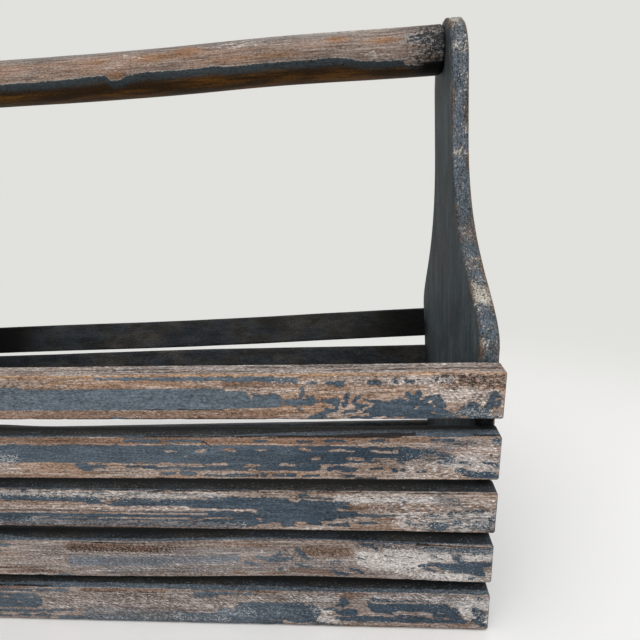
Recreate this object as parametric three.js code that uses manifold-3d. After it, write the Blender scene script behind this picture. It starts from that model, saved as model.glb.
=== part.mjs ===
// Wooden tool caddy: two bottle-shaped end boards, slatted sides that lean outwards,
// a slatted bottom and a round handle, all nailed and screwed together.
// Millimetres, +Z up. The origin is on the floor under the middle of the box,
// +X runs along the handle and the front faces -Y.

import * as THREE from 'three';
import { mergeVertices } from 'three/addons/utils/BufferGeometryUtils.js';
import Module from 'manifold-3d';

const wasm = await Module();
wasm.setup();

// Box
const boxLength = 480;        // over the outer faces of the end boards
const footWidth = 164;        // end board along its lower edge
const sideLean = 10.3;        // degrees that the sides lean out from plumb
const seatGap = 0.3;          // between pieces that lie against each other

// End boards
const endThickness = 11;
const shoulderRise = 6.5;     // from the top of the slats' seat to the widest point
const flareRise = 128;        // from the widest point up to the neck
const neckWidth = 73.5;
const neckPull = 80;          // how far the flare stays close to the neck
const shoulderPull = 28;      // how far the flare stays close to the shoulder
const crownDrop = 38;         // height of the rounded crown
const crownSquareness = 0.53; // 0.55 is a plain ellipse, more is squarer

// Handle
const handleDiameter = 32;
const handleRise = 64.5;      // axis above the start of the neck
const handleCover = 2.5;      // wood of the end board above the handle
const handleArris = 1.5;      // chamfer round the handle's ends

// Slats of the two sides, counted from the top
const slatCount = 5;
const slatHeight = 27.5;
const slatThickness = 14;
const slatGap = 10;
const slatArris = 1.2;        // chamfer along the long edges
const slatFloorGap = 0.3;     // lowest arris above the floor

// Some slats are nailed a little out of level, seen from outside the wall, top slat first
const frontTilts = [-0.6, -0.3, -0.5]; // degrees, right-hand end up is positive
const frontLifts = [1.4, -0.5, 1.5];   // at the middle, up the wall
const backTilts = [-1, -0.23, 0, -0.5];
const backLifts = [-2.2, 1.2, 0, -0.3];

// Slats of the bottom
const bottomCount = 5;
const bottomWidth = 27.5;
const bottomThickness = 11;
const bottomSideGap = 0.6;    // to the side walls

// Nails
const nailHeadDiameter = 3.2;
const nailHeadThickness = 0.9;
const nailDiameter = 1.9;
const nailPoint = 3;          // length of the tapered point
const nailBite = 12;          // into the end board
const nailFromTop = 0.4;      // share of the slat's height above the nail
const nailSides = 8;

// Handle screws
const screwHeadDiameter = 8.6;
const screwHeadDepth = 3;     // countersink
const screwDiameter = 4.4;
const screwBite = 30;         // into the handle
const screwPoint = 5;
const screwSlotWidth = 1.2;
const screwSlotDepth = 1.1;
const screwSides = 16;

// Fit of the nails and screws
const fastenerSink = 0.3;      // head below the surface
const fastenerClearance = 0.3; // between a fastener and its hole

// Facets
const handleSides = 28;
const curveSteps = 12;
const weldTolerance = 1e-4;    // corners closer than this are one
const cutOvershoot = 1;        // a hole's cutter stands out of the surface by this

// Sizes that follow
const lean = THREE.MathUtils.degToRad(sideLean);
const wallHeight = slatCount * slatHeight + (slatCount - 1) * slatGap;
const slatPitch = slatHeight + slatGap;
const wallBaseZ = slatFloorGap + (seatGap + slatThickness) * Math.sin(lean);
const footZ = bottomThickness + seatGap;
const shoulderZ = wallBaseZ + wallHeight * Math.cos(lean) + shoulderRise;
const neckZ = shoulderZ + flareRise;
const handleZ = neckZ + handleRise;
const handleRadius = handleDiameter / 2;
const crownZ = handleZ + handleRadius + handleCover;
const innerHalf = boxLength / 2 - endThickness;
const nailX = boxLength / 2 - endThickness / 2;

// Half the width of the end board at a height below its shoulder
function edgeHalf(z) {
  return footWidth / 2 + (z - footZ) * Math.tan(lean);
}

// Finishes
const charcoalPaint = { color: 0x3d4448, roughness: 0.62, metalness: 0 };
const wornPaint = { color: 0x857d77, roughness: 0.72, metalness: 0 };
const wornGrip = { color: 0x86776c, roughness: 0.6, metalness: 0 };
const darkIron = { color: 0x3a3633, roughness: 0.55, metalness: 0.8 };

// A closed geometry with shared corners and no collapsed triangles
function weld(geometry) {
  const bare = geometry.clone();
  bare.deleteAttribute('normal');
  bare.deleteAttribute('uv');
  const merged = mergeVertices(bare, weldTolerance);
  const index = merged.index.array;
  const kept = [];
  for (let i = 0; i < index.length; i += 3) {
    const [a, b, c] = index.subarray(i, i + 3);
    if (a !== b && b !== c && c !== a) kept.push(a, b, c);
  }
  merged.setIndex(kept);
  return merged;
}

function toSolid(geometry) {
  const welded = weld(geometry);
  return new wasm.Manifold(new wasm.Mesh({
    numProp: 3,
    vertProperties: new Float32Array(welded.attributes.position.array),
    triVerts: new Uint32Array(welded.index.array),
  }));
}

function toGeometry(solid) {
  const mesh = solid.getMesh();
  const geometry = new THREE.BufferGeometry();
  geometry.setAttribute('position', new THREE.BufferAttribute(mesh.vertProperties, 3));
  geometry.setIndex(new THREE.BufferAttribute(mesh.triVerts, 1));
  return geometry;
}

// Take every cutter out of a piece
function cut(geometry, cutters) {
  let solid = toSolid(geometry);
  for (const cutter of cutters) solid = solid.subtract(toSolid(cutter));
  return toGeometry(solid);
}

function addPiece(parent, name, geometry, finish) {
  const mesh = new THREE.Mesh(geometry, new THREE.MeshStandardMaterial(finish));
  mesh.name = name;
  parent.add(mesh);
  return mesh;
}

// Extrude a Y-Z outline along X, centred on X = 0
function extrudeAlongX(shape, depth) {
  const geometry = new THREE.ExtrudeGeometry(shape, {
    depth,
    bevelEnabled: false,
    curveSegments: curveSteps,
  });
  const axes = [new THREE.Vector3(0, 1, 0), new THREE.Vector3(0, 0, 1), new THREE.Vector3(1, 0, 0)];
  geometry.applyMatrix4(new THREE.Matrix4().makeBasis(...axes));
  return geometry.translate(-depth / 2, 0, 0);
}

// A plank along X with chamfered long edges, from y = 0 and z = 0
function plank(length, height, thickness, arris) {
  const outline = new THREE.Shape();
  outline.moveTo(arris, 0);
  outline.lineTo(height - arris, 0);
  outline.lineTo(height, arris);
  outline.lineTo(height, thickness - arris);
  outline.lineTo(height - arris, thickness);
  outline.lineTo(arris, thickness);
  outline.lineTo(0, thickness - arris);
  outline.lineTo(0, arris);
  outline.closePath();
  return extrudeAlongX(outline, length);
}

// A turned piece, pointing along -Z, from [radius, z] pairs given point first
function turned(profile, sides) {
  const points = profile.map(([radius, z]) => new THREE.Vector2(radius, z));
  return new THREE.LatheGeometry(points, sides).rotateX(Math.PI / 2);
}

// A flat-headed nail along -Z, driven from z = 0 through a plank and into the end board
function nail(depth) {
  const tip = -depth - nailBite;
  return turned([
    [0, tip],
    [nailDiameter / 2, tip + nailPoint],
    [nailDiameter / 2, -fastenerSink - nailHeadThickness],
    [nailHeadDiameter / 2, -fastenerSink - nailHeadThickness],
    [nailHeadDiameter / 2, -fastenerSink],
    [0, -fastenerSink],
  ], nailSides);
}

// The hole that the nail sits in
function nailHole(depth) {
  const tip = -depth - nailBite - fastenerClearance;
  const shank = nailDiameter / 2 + fastenerClearance;
  const head = nailHeadDiameter / 2 + fastenerClearance;
  const seat = -fastenerSink - nailHeadThickness - fastenerClearance;
  return turned([
    [0, tip],
    [shank, tip],
    [shank, seat],
    [head, seat],
    [head, cutOvershoot],
    [0, cutOvershoot],
  ], nailSides);
}

// A slotted countersunk screw along -Z, driven from z = 0 through an end board into the handle
function screw() {
  const tip = -endThickness - screwBite;
  const body = toSolid(turned([
    [0, tip],
    [screwDiameter / 2, tip + screwPoint],
    [screwDiameter / 2, -fastenerSink - screwHeadDepth],
    [screwHeadDiameter / 2, -fastenerSink],
    [0, -fastenerSink],
  ], screwSides));
  const slot = new THREE.BoxGeometry(2 * screwHeadDiameter, screwSlotWidth, 2 * screwSlotDepth);
  slot.translate(0, 0, -fastenerSink);
  return toGeometry(body.subtract(toSolid(slot)));
}

// The hole that the screw sits in
function screwHole() {
  const tip = -endThickness - screwBite - fastenerClearance;
  const shank = screwDiameter / 2 + fastenerClearance;
  const head = screwHeadDiameter / 2 + fastenerClearance;
  const seat = -fastenerSink - screwHeadDepth;
  return turned([
    [0, tip],
    [shank, tip],
    [shank, seat],
    [head, -fastenerSink],
    [head, cutOvershoot],
    [0, cutOvershoot],
  ], screwSides);
}

const caddy = new THREE.Group();
const endHoles = { left: [], right: [] };
const sideOf = (x) => (x > 0 ? 'right' : 'left');

// Keep the hole of a fastener for the end board that it is driven into
function drill(holder, hole) {
  holder.updateWorldMatrix(true, false);
  const placed = hole.clone().applyMatrix4(holder.matrixWorld);
  endHoles[sideOf(holder.getWorldPosition(new THREE.Vector3()).x)].push(placed);
}

// A slat with a nail through each end, in its own group with the outer face at z = thickness
function nailedSlat(parent, name, height, thickness, nailY) {
  const holes = [];
  for (const x of [-nailX, nailX]) {
    const seat = new THREE.Group();
    seat.position.set(x, nailY, thickness);
    parent.add(seat);
    const side = sideOf(seat.getWorldPosition(new THREE.Vector3()).x);
    addPiece(seat, `${name}_nail_${side}`, weld(nail(thickness)), darkIron);
    holes.push(nailHole(thickness).translate(x, nailY, thickness));
    drill(seat, nailHole(thickness));
  }
  addPiece(parent, name, cut(plank(boxLength, height, thickness, slatArris), holes), wornPaint);
}

// Side walls: a group for each wall with Y up the wall and Z out of it
const walls = [
  { name: 'front', turn: 0, tilts: frontTilts, lifts: frontLifts },
  { name: 'back', turn: Math.PI, tilts: backTilts, lifts: backLifts },
];
for (const { name, turn, tilts, lifts } of walls) {
  const side = new THREE.Group();
  side.rotation.z = turn;
  caddy.add(side);
  const wall = new THREE.Group();
  wall.position.set(0, -edgeHalf(wallBaseZ), wallBaseZ);
  wall.rotation.x = Math.PI / 2 + lean;
  side.add(wall);
  for (let i = 0; i < slatCount; i += 1) {
    const tilt = tilts[i] ?? 0;
    const lift = lifts[i] ?? 0;
    const slat = new THREE.Group();
    slat.position.set(0, wallHeight - slatHeight - i * slatPitch + lift, seatGap);
    slat.rotation.z = THREE.MathUtils.degToRad(tilt);
    wall.add(slat);
    nailedSlat(slat, `${name}_slat_${i + 1}`, slatHeight, slatThickness, slatHeight * (1 - nailFromTop));
  }
}

// Bottom: slats side by side under the end boards, nailed from below
const bottomSpan = 2 * (edgeHalf(0) - bottomSideGap);
const bottomPitch = (bottomSpan - bottomWidth) / (bottomCount - 1);
for (let i = 0; i < bottomCount; i += 1) {
  const slat = new THREE.Group();
  slat.position.set(0, bottomSpan / 2 - i * bottomPitch, bottomThickness);
  slat.rotation.x = Math.PI;
  caddy.add(slat);
  nailedSlat(slat, `bottom_slat_${i + 1}`, bottomWidth, bottomThickness, bottomWidth / 2);
}

// Handle between the end boards, with a screw through each board into its end
const handleHalf = innerHalf - seatGap;
const handleHoles = [];
for (const direction of [-1, 1]) {
  const seat = new THREE.Group();
  seat.position.set(direction * boxLength / 2, 0, handleZ);
  seat.rotation.y = direction * Math.PI / 2;
  caddy.add(seat);
  addPiece(seat, `handle_screw_${sideOf(direction)}`, screw(), darkIron);
  drill(seat, screwHole());
  handleHoles.push(screwHole().rotateY(direction * Math.PI / 2).translate(direction * boxLength / 2, 0, 0));
}
const rod = turned([
  [0, -handleHalf],
  [handleRadius - handleArris, -handleHalf],
  [handleRadius, -handleHalf + handleArris],
  [handleRadius, handleHalf - handleArris],
  [handleRadius - handleArris, handleHalf],
  [0, handleHalf],
], handleSides).rotateY(Math.PI / 2);
const handle = addPiece(caddy, 'handle', cut(rod, handleHoles), wornGrip);
handle.position.z = handleZ;

// End boards: tapered foot, S-shaped flare, straight neck and rounded crown
function endBoard(holes, x) {
  const foot = footWidth / 2;
  const shoulder = edgeHalf(shoulderZ);
  const neck = neckWidth / 2;
  const crownStart = crownZ - crownDrop;
  const crestReach = neck * crownSquareness;
  const cornerReach = crownDrop * crownSquareness;
  const outline = new THREE.Shape();
  outline.moveTo(-foot, footZ);
  outline.lineTo(foot, footZ);
  outline.lineTo(shoulder, shoulderZ);
  outline.bezierCurveTo(shoulder, shoulderZ + shoulderPull, neck, neckZ - neckPull, neck, neckZ);
  outline.lineTo(neck, crownStart);
  outline.bezierCurveTo(neck, crownStart + cornerReach, crestReach, crownZ, 0, crownZ);
  outline.bezierCurveTo(-crestReach, crownZ, -neck, crownStart + cornerReach, -neck, crownStart);
  outline.lineTo(-neck, neckZ);
  outline.bezierCurveTo(-neck, neckZ - neckPull, -shoulder, shoulderZ + shoulderPull, -shoulder, shoulderZ);
  outline.closePath();
  return cut(extrudeAlongX(outline, endThickness).translate(x, 0, 0), holes);
}
addPiece(caddy, 'end_board_left', endBoard(endHoles.left, -nailX), charcoalPaint);
addPiece(caddy, 'end_board_right', endBoard(endHoles.right, nailX), charcoalPaint);

export default caddy;
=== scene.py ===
import math

import bpy
import numpy as np
from mathutils import Matrix, Vector, noise as solidNoise


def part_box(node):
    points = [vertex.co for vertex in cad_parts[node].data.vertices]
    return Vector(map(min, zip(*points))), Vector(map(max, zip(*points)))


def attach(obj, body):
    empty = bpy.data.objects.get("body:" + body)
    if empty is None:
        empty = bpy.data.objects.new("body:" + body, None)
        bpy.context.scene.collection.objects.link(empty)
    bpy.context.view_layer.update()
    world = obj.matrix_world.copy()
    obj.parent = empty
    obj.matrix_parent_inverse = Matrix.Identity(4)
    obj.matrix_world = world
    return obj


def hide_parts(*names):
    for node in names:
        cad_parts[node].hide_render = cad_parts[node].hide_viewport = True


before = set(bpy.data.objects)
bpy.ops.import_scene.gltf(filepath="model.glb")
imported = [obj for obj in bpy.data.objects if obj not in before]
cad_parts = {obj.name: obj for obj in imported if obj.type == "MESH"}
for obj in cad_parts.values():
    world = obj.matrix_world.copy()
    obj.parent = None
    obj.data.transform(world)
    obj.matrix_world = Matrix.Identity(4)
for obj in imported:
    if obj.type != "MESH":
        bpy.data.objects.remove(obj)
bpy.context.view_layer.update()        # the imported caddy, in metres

scene = bpy.context.scene
mm = 0.001
solidNoise.seed_set(5)      # strokes wander the same way each time
print("frame loaded:", len(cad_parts), "solids")


# Small helpers for node trees

def linear(red, green, blue):
    # an 8-bit screen colour as the linear colour that sockets want
    def channel(value):
        share = value / 255
        return share / 12.92 if share <= 0.04045 else ((share + 0.055) / 1.055) ** 2.4
    return (channel(red), channel(green), channel(blue), 1)


def feed(tree, value, socket):
    if isinstance(value, bpy.types.NodeSocket):
        tree.links.new(value, socket)
    elif value is not None:
        socket.default_value = value


def calc(tree, operation, *values, clamp=False):
    made = tree.nodes.new("ShaderNodeMath")
    made.operation = operation
    made.use_clamp = clamp
    for value, socket in zip(values, made.inputs):
        feed(tree, value, socket)
    return made.outputs[0]


def plus(tree, *values, clamp=False):
    return calc(tree, "ADD", *values, clamp=clamp)


def minus(tree, *values):
    return calc(tree, "SUBTRACT", *values)


def times(tree, *values, clamp=False):
    return calc(tree, "MULTIPLY", *values, clamp=clamp)


def divided(tree, *values):
    return calc(tree, "DIVIDE", *values)


def timesPlus(tree, *values, clamp=False):
    return calc(tree, "MULTIPLY_ADD", *values, clamp=clamp)


def square(tree, value):
    return times(tree, value, value)


def vectorCalc(tree, operation, *values, scale=None):
    made = tree.nodes.new("ShaderNodeVectorMath")
    made.operation = operation
    for value, socket in zip(values, made.inputs):
        feed(tree, value, socket)
    if scale is not None:
        feed(tree, scale, made.inputs["Scale"])
    return made.outputs[0]


def noise(tree, place, scale, detail=4.0, roughness=0.55, distortion=0.0):
    made = tree.nodes.new("ShaderNodeTexNoise")
    feed(tree, place, made.inputs["Vector"])
    feed(tree, scale, made.inputs["Scale"])
    made.inputs["Detail"].default_value = detail
    made.inputs["Roughness"].default_value = roughness
    made.inputs["Distortion"].default_value = distortion
    return made.outputs[0]


def swing(tree, *values):
    # noise that swings about zero
    return minus(tree, noise(tree, *values), 0.5)


def rise(tree, value, low, high, start=0.0, end=1.0):
    # smooth step from start to end as the value goes from low to high
    made = tree.nodes.new("ShaderNodeMapRange")
    made.interpolation_type = "SMOOTHSTEP"
    for given, socket in zip((value, low, high, start, end), made.inputs):
        feed(tree, given, socket)
    return made.outputs[0]


def mixColour(tree, factor, under, over):
    made = tree.nodes.new("ShaderNodeMix")
    made.data_type = "RGBA"
    feed(tree, factor, made.inputs[0])
    feed(tree, under, made.inputs[6])
    feed(tree, over, made.inputs[7])
    return made.outputs[2]


def mixValue(tree, factor, under, over):
    made = tree.nodes.new("ShaderNodeMix")
    feed(tree, factor, made.inputs[0])
    feed(tree, under, made.inputs[2])
    feed(tree, over, made.inputs[3])
    return made.outputs[0]


def joinXyz(tree, x, y, z):
    made = tree.nodes.new("ShaderNodeCombineXYZ")
    for value, socket in zip((x, y, z), made.inputs):
        feed(tree, value, socket)
    return made.outputs[0]


def threefold(tree, value):
    return joinXyz(tree, value, value, value)


def splitXyz(tree, place):
    made = tree.nodes.new("ShaderNodeSeparateXYZ")
    feed(tree, place, made.inputs[0])
    return made.outputs


def attribute(tree, name, kind="Fac"):
    made = tree.nodes.new("ShaderNodeAttribute")
    made.attribute_type = "GEOMETRY"
    made.attribute_name = name
    return made.outputs[kind]


# Camera, at the photograph's place and angle

cameraPlace = {
    "place": (0.165747, -0.373248, 0.238446),
    "turnLeft": 4.787,        # degrees
    "tipDown": 8.025,
    "roll": -2.246,
    "focal": 484.0,           # pixels of a 640-pixel picture
    "picture": 640,
    "sensor": 36.0,           # millimetres
    "clip": 0.01,
}


def makeCamera(part):
    yaw, pitch, roll = (math.radians(part[key]) for key in ("turnLeft", "tipDown", "roll"))
    ahead = Vector((-math.sin(yaw) * math.cos(pitch), math.cos(yaw) * math.cos(pitch), -math.sin(pitch)))
    level = ahead.cross(Vector((0, 0, 1))).normalized()
    upright = level.cross(ahead)
    right = level * math.cos(roll) + upright * math.sin(roll)
    up = upright * math.cos(roll) - level * math.sin(roll)
    data = bpy.data.cameras.new("camera")
    data.sensor_width = part["sensor"]
    data.lens = part["focal"] / part["picture"] * part["sensor"]
    data.clip_start = part["clip"]
    camera = bpy.data.objects.new("camera", data)
    turn = Matrix((right, up, -ahead)).transposed().to_4x4()
    camera.matrix_world = Matrix.Translation(part["place"]) @ turn
    scene.collection.objects.link(camera)
    scene.camera = camera


makeCamera(cameraPlace)
scene.view_settings.view_transform = "Standard"
print("camera placed")


# Studio: pale floor that fades into a pale backdrop, and soft light

studio = {
    "backdrop": (225, 225, 221),
    "floor": (249, 248, 246),
    "floorRough": 0.85,
    "skyLight": 0.36,
    "fadeFrom": 0.45,         # metres from the middle of the caddy
    "fadeTo": 1.3,
    "reach": 1.43,
    "lamps": {
        "keyLamp": {"place": (0.0, -1.4, 1.85), "size": 2.4, "power": 35},
        "fillLamp": {"place": (1.5, -0.7, 1.2), "size": 1.4, "power": 9},
        "backLamp": {"place": (0.3, 1.7, 1.3), "size": 1.6, "power": 8},
    },
    "aim": (0.05, 0, 0.16),
}


def seenDirectly(tree):
    # camera, mirror and glass rays see the plain backdrop
    rays = tree.nodes.new("ShaderNodeLightPath").outputs
    direct = plus(tree, rays["Is Camera Ray"], rays["Is Glossy Ray"])
    return plus(tree, direct, rays["Is Transmission Ray"], clamp=True)


def makeWorld(part):
    world = bpy.data.worlds.new("paleRoom")
    scene.world = world
    world.use_nodes = True
    tree = world.node_tree
    tree.nodes.clear()
    light = tree.nodes.new("ShaderNodeBackground")
    light.inputs["Color"].default_value = linear(255, 255, 255)
    light.inputs["Strength"].default_value = part["skyLight"]
    seen = tree.nodes.new("ShaderNodeBackground")
    seen.inputs["Color"].default_value = linear(*part["backdrop"])
    mix = tree.nodes.new("ShaderNodeMixShader")
    feed(tree, seenDirectly(tree), mix.inputs[0])
    feed(tree, light.outputs[0], mix.inputs[1])
    feed(tree, seen.outputs[0], mix.inputs[2])
    out = tree.nodes.new("ShaderNodeOutputWorld")
    feed(tree, mix.outputs[0], out.inputs["Surface"])


def makeFloor(part):
    reach = part["reach"]
    mesh = bpy.data.meshes.new("floor")
    corners = [(-reach, -reach, 0), (reach, -reach, 0), (reach, reach, 0), (-reach, reach, 0)]
    mesh.from_pydata(corners, [], [(0, 1, 2, 3)])
    floor = bpy.data.objects.new("floor", mesh)
    scene.collection.objects.link(floor)
    material = bpy.data.materials.new("paleFloor")
    material.use_nodes = True
    tree = material.node_tree
    shader = tree.nodes["Principled BSDF"]
    shader.inputs["Base Color"].default_value = linear(*part["floor"])
    shader.inputs["Roughness"].default_value = part["floorRough"]
    place = tree.nodes.new("ShaderNodeTexCoord").outputs["Object"]
    distance = tree.nodes.new("ShaderNodeVectorMath")
    distance.operation = "LENGTH"
    feed(tree, place, distance.inputs[0])
    gone = rise(tree, distance.outputs["Value"], part["fadeFrom"], part["fadeTo"])
    clear = tree.nodes.new("ShaderNodeBsdfTransparent")
    mix = tree.nodes.new("ShaderNodeMixShader")
    feed(tree, gone, mix.inputs[0])
    feed(tree, shader.outputs[0], mix.inputs[1])
    feed(tree, clear.outputs[0], mix.inputs[2])
    feed(tree, mix.outputs[0], tree.nodes["Material Output"].inputs["Surface"])
    mesh.materials.append(material)


def makeLamps(part):
    for name, lamp in part["lamps"].items():
        data = bpy.data.lights.new(name, "AREA")
        data.size = lamp["size"]
        data.energy = lamp["power"]
        made = bpy.data.objects.new(name, data)
        made.location = lamp["place"]
        direction = Vector(part["aim"]) - Vector(lamp["place"])
        made.rotation_euler = direction.to_track_quat("-Z", "Y").to_euler()
        scene.collection.objects.link(made)


makeWorld(studio)
makeFloor(studio)
makeLamps(studio)
print("studio lit")


# Shader groups that several finishes share. Places are in metres, with x along the grain

def makeGroup(name, inputs, outputs):
    tree = bpy.data.node_groups.new(name, "ShaderNodeTree")
    for label, value in inputs.items():
        kind = "NodeSocketVector" if value is None else "NodeSocketFloat"
        socket = tree.interface.new_socket(label, in_out="INPUT", socket_type=kind)
        if value is not None:
            socket.default_value = value
    for label in outputs:
        tree.interface.new_socket(label, in_out="OUTPUT", socket_type="NodeSocketFloat")
    given = tree.nodes.new("NodeGroupInput").outputs
    result = tree.nodes.new("NodeGroupOutput").inputs
    return tree, given, result


def useGroup(tree, group, **inputs):
    made = tree.nodes.new("ShaderNodeGroup")
    made.node_tree = group
    for label, value in inputs.items():
        feed(tree, value, made.inputs[label])
    return made.outputs


def stretched(tree, place, along, across):
    # place in millimetres, drawn out along the grain
    return vectorCalc(tree, "MULTIPLY", place, (along / mm, across / mm, across / mm))


def grained(tree, place, along, across, detail, roughness, distortion=0.0):
    return noise(tree, stretched(tree, place, along, across), 1, detail, roughness, distortion)


def makeChippedPaint():
    # a coat torn along its edge. Level is how far inside the coat a place lies, in millimetres
    tree, given, result = makeGroup(
        "chippedPaint",
        {"Place": None, "Level": 0.0, "Streak": 0.2, "Ragged": 13.0},
        ("Mask", "Rim"),
    )
    islands = noise(tree, stretched(tree, given["Place"], 0.75, 1), 0.5, 5, 0.78, 0.8)
    streaks = grained(tree, given["Place"], 0.07, 0.8, 6, 0.75)
    wander = minus(tree, mixValue(tree, given["Streak"], islands, streaks), 0.5)
    level = timesPlus(tree, wander, given["Ragged"], given["Level"])
    feed(tree, rise(tree, level, -0.12, 0.12), result["Mask"])
    rim = times(tree, rise(tree, level, -0.9, -0.15), rise(tree, level, 0.1, 0.4, 1, 0))
    feed(tree, rim, result["Rim"])
    return tree


def makeFlecks():
    # small separate spots, more of them as Amount rises
    tree, given, result = makeGroup(
        "flecks",
        {"Place": None, "Amount": 0.3, "Size": 1.0, "Long": 0.7, "Shift": 0.0},
        ("Mask",),
    )
    across = divided(tree, 1.0, given["Size"])
    shrink = joinXyz(tree, divided(tree, given["Long"], given["Size"]), across, across)
    place = vectorCalc(tree, "ADD", given["Place"], threefold(tree, given["Shift"]))
    place = vectorCalc(tree, "MULTIPLY", place, shrink)
    spots = noise(tree, stretched(tree, place, 1, 1), 0.85, 3, 0.72)
    limit = timesPlus(tree, given["Amount"], -0.42, 0.75)
    feed(tree, rise(tree, spots, limit, plus(tree, limit, 0.05)), result["Mask"])
    return tree


def makeWoodGrain():
    # fine fibres and broad bands along the grain
    tree, given, result = makeGroup("woodGrain", {"Place": None}, ("Fibre", "Broad"))
    feed(tree, grained(tree, given["Place"], 0.04, 1.05, 5, 0.72), result["Fibre"])
    feed(tree, grained(tree, given["Place"], 0.014, 0.12, 4, 0.55, 0.5), result["Broad"])
    return tree


def makeGrit():
    # uneven tone around 1: fine grains, thin lines along the grain and broad stains
    tree, given, result = makeGroup("grit", {"Place": None, "Strength": 0.4}, ("Shade",))
    grains = noise(tree, stretched(tree, given["Place"], 0.5, 1), 1.15, 2, 0.8)
    lines = grained(tree, given["Place"], 0.06, 1, 4, 0.7)
    stains = grained(tree, given["Place"], 0.02, 0.07, 3, 0.6)
    shade = 0.0
    for pattern, weight in ((grains, 4.6), (lines, 1.7), (stains, 1.7)):
        shade = timesPlus(tree, minus(tree, pattern, 0.5), weight, shade)
    shade = timesPlus(tree, shade, given["Strength"], 1.0)
    feed(tree, calc(tree, "MAXIMUM", shade, 0.25), result["Shade"])
    return tree


chippedPaint = makeChippedPaint()
flecks = makeFlecks()
woodGrain = makeWoodGrain()
grit = makeGrit()
print("shader groups built")


# Finishes. Their colours are 8-bit screen colours

slatFinish = {
    "slateBlue": (98, 108, 117),
    "deepBlue": (52, 66, 79),
    "dustyBlue": (178, 178, 177),
    "hazeBlue": (100, 109, 119),
    "bareTan": (172, 152, 138),
    "bareWarm": (161, 129, 104),
    "bareGrey": (127, 123, 122),
    "fibreBrown": (98, 80, 70),
    "rustBrown": (112, 84, 66),
    "arrisTan": (182, 144, 104),
    "primer": (220, 215, 212),
    "limed": (186, 179, 175),
    "grime": (31, 28, 27),
    "crack": (30, 19, 14),
    "charcoal": (44, 49, 55),
    "charcoalBrown": (57, 55, 51),
    "sawAngle": 38,           # degrees
    "gloss": 0.2,
    "bareRough": 0.9,
    "paintRough": 0.7,
    "bump": 0.6,
    "bumpDepth": 0.4 * mm,
}


def startFinish(name, part):
    material = bpy.data.materials.new(name)
    material.use_nodes = True
    tree = material.node_tree
    shader = tree.nodes["Principled BSDF"]
    shader.inputs["Specular IOR Level"].default_value = part["gloss"]
    return material, tree, shader


def tonesOf(part):
    return {key: linear(*value) for key, value in part.items() if isinstance(value, tuple)}


def layOver(tree, mask, strength, under, over):
    # a colour laid over another at part strength where the mask is
    return mixColour(tree, times(tree, mask, strength), under, over)


def flecked(tree, colour, place, strength, tone, **inputs):
    # flecks of another tone over a colour
    spots = useGroup(tree, flecks, Place=place, **inputs)
    return layOver(tree, spots["Mask"], strength, colour, tone)


def chipped(tree, place, field, streak, ragged):
    # a torn coat whose level the mesh carries
    level = attribute(tree, field)
    return useGroup(tree, chippedPaint, Place=place, Level=level, Streak=streak, Ragged=ragged)


def dimmed(tree, colour, share):
    return vectorCalc(tree, "SCALE", colour, scale=share)


def finishSurface(tree, shader, part, place, colour, unevenness, bare):
    # a colour in its uneven tone, darkened by painted shade, and as rough as its share of bare wood
    uneven = useGroup(tree, grit, Place=place, Strength=unevenness)
    unshaded = minus(tree, 1.0, attribute(tree, "paintedShade"))
    feed(tree, dimmed(tree, colour, times(tree, uneven["Shade"], unshaded)), shader.inputs["Base Color"])
    feed(tree, mixValue(tree, bare, part["paintRough"], part["bareRough"]), shader.inputs["Roughness"])


def addRelief(tree, shader, part, height):
    bump = tree.nodes.new("ShaderNodeBump")
    bump.inputs["Strength"].default_value = part["bump"]
    bump.inputs["Distance"].default_value = part["bumpDepth"]
    feed(tree, height, bump.inputs["Height"])
    feed(tree, bump.outputs[0], shader.inputs["Normal"])


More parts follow.
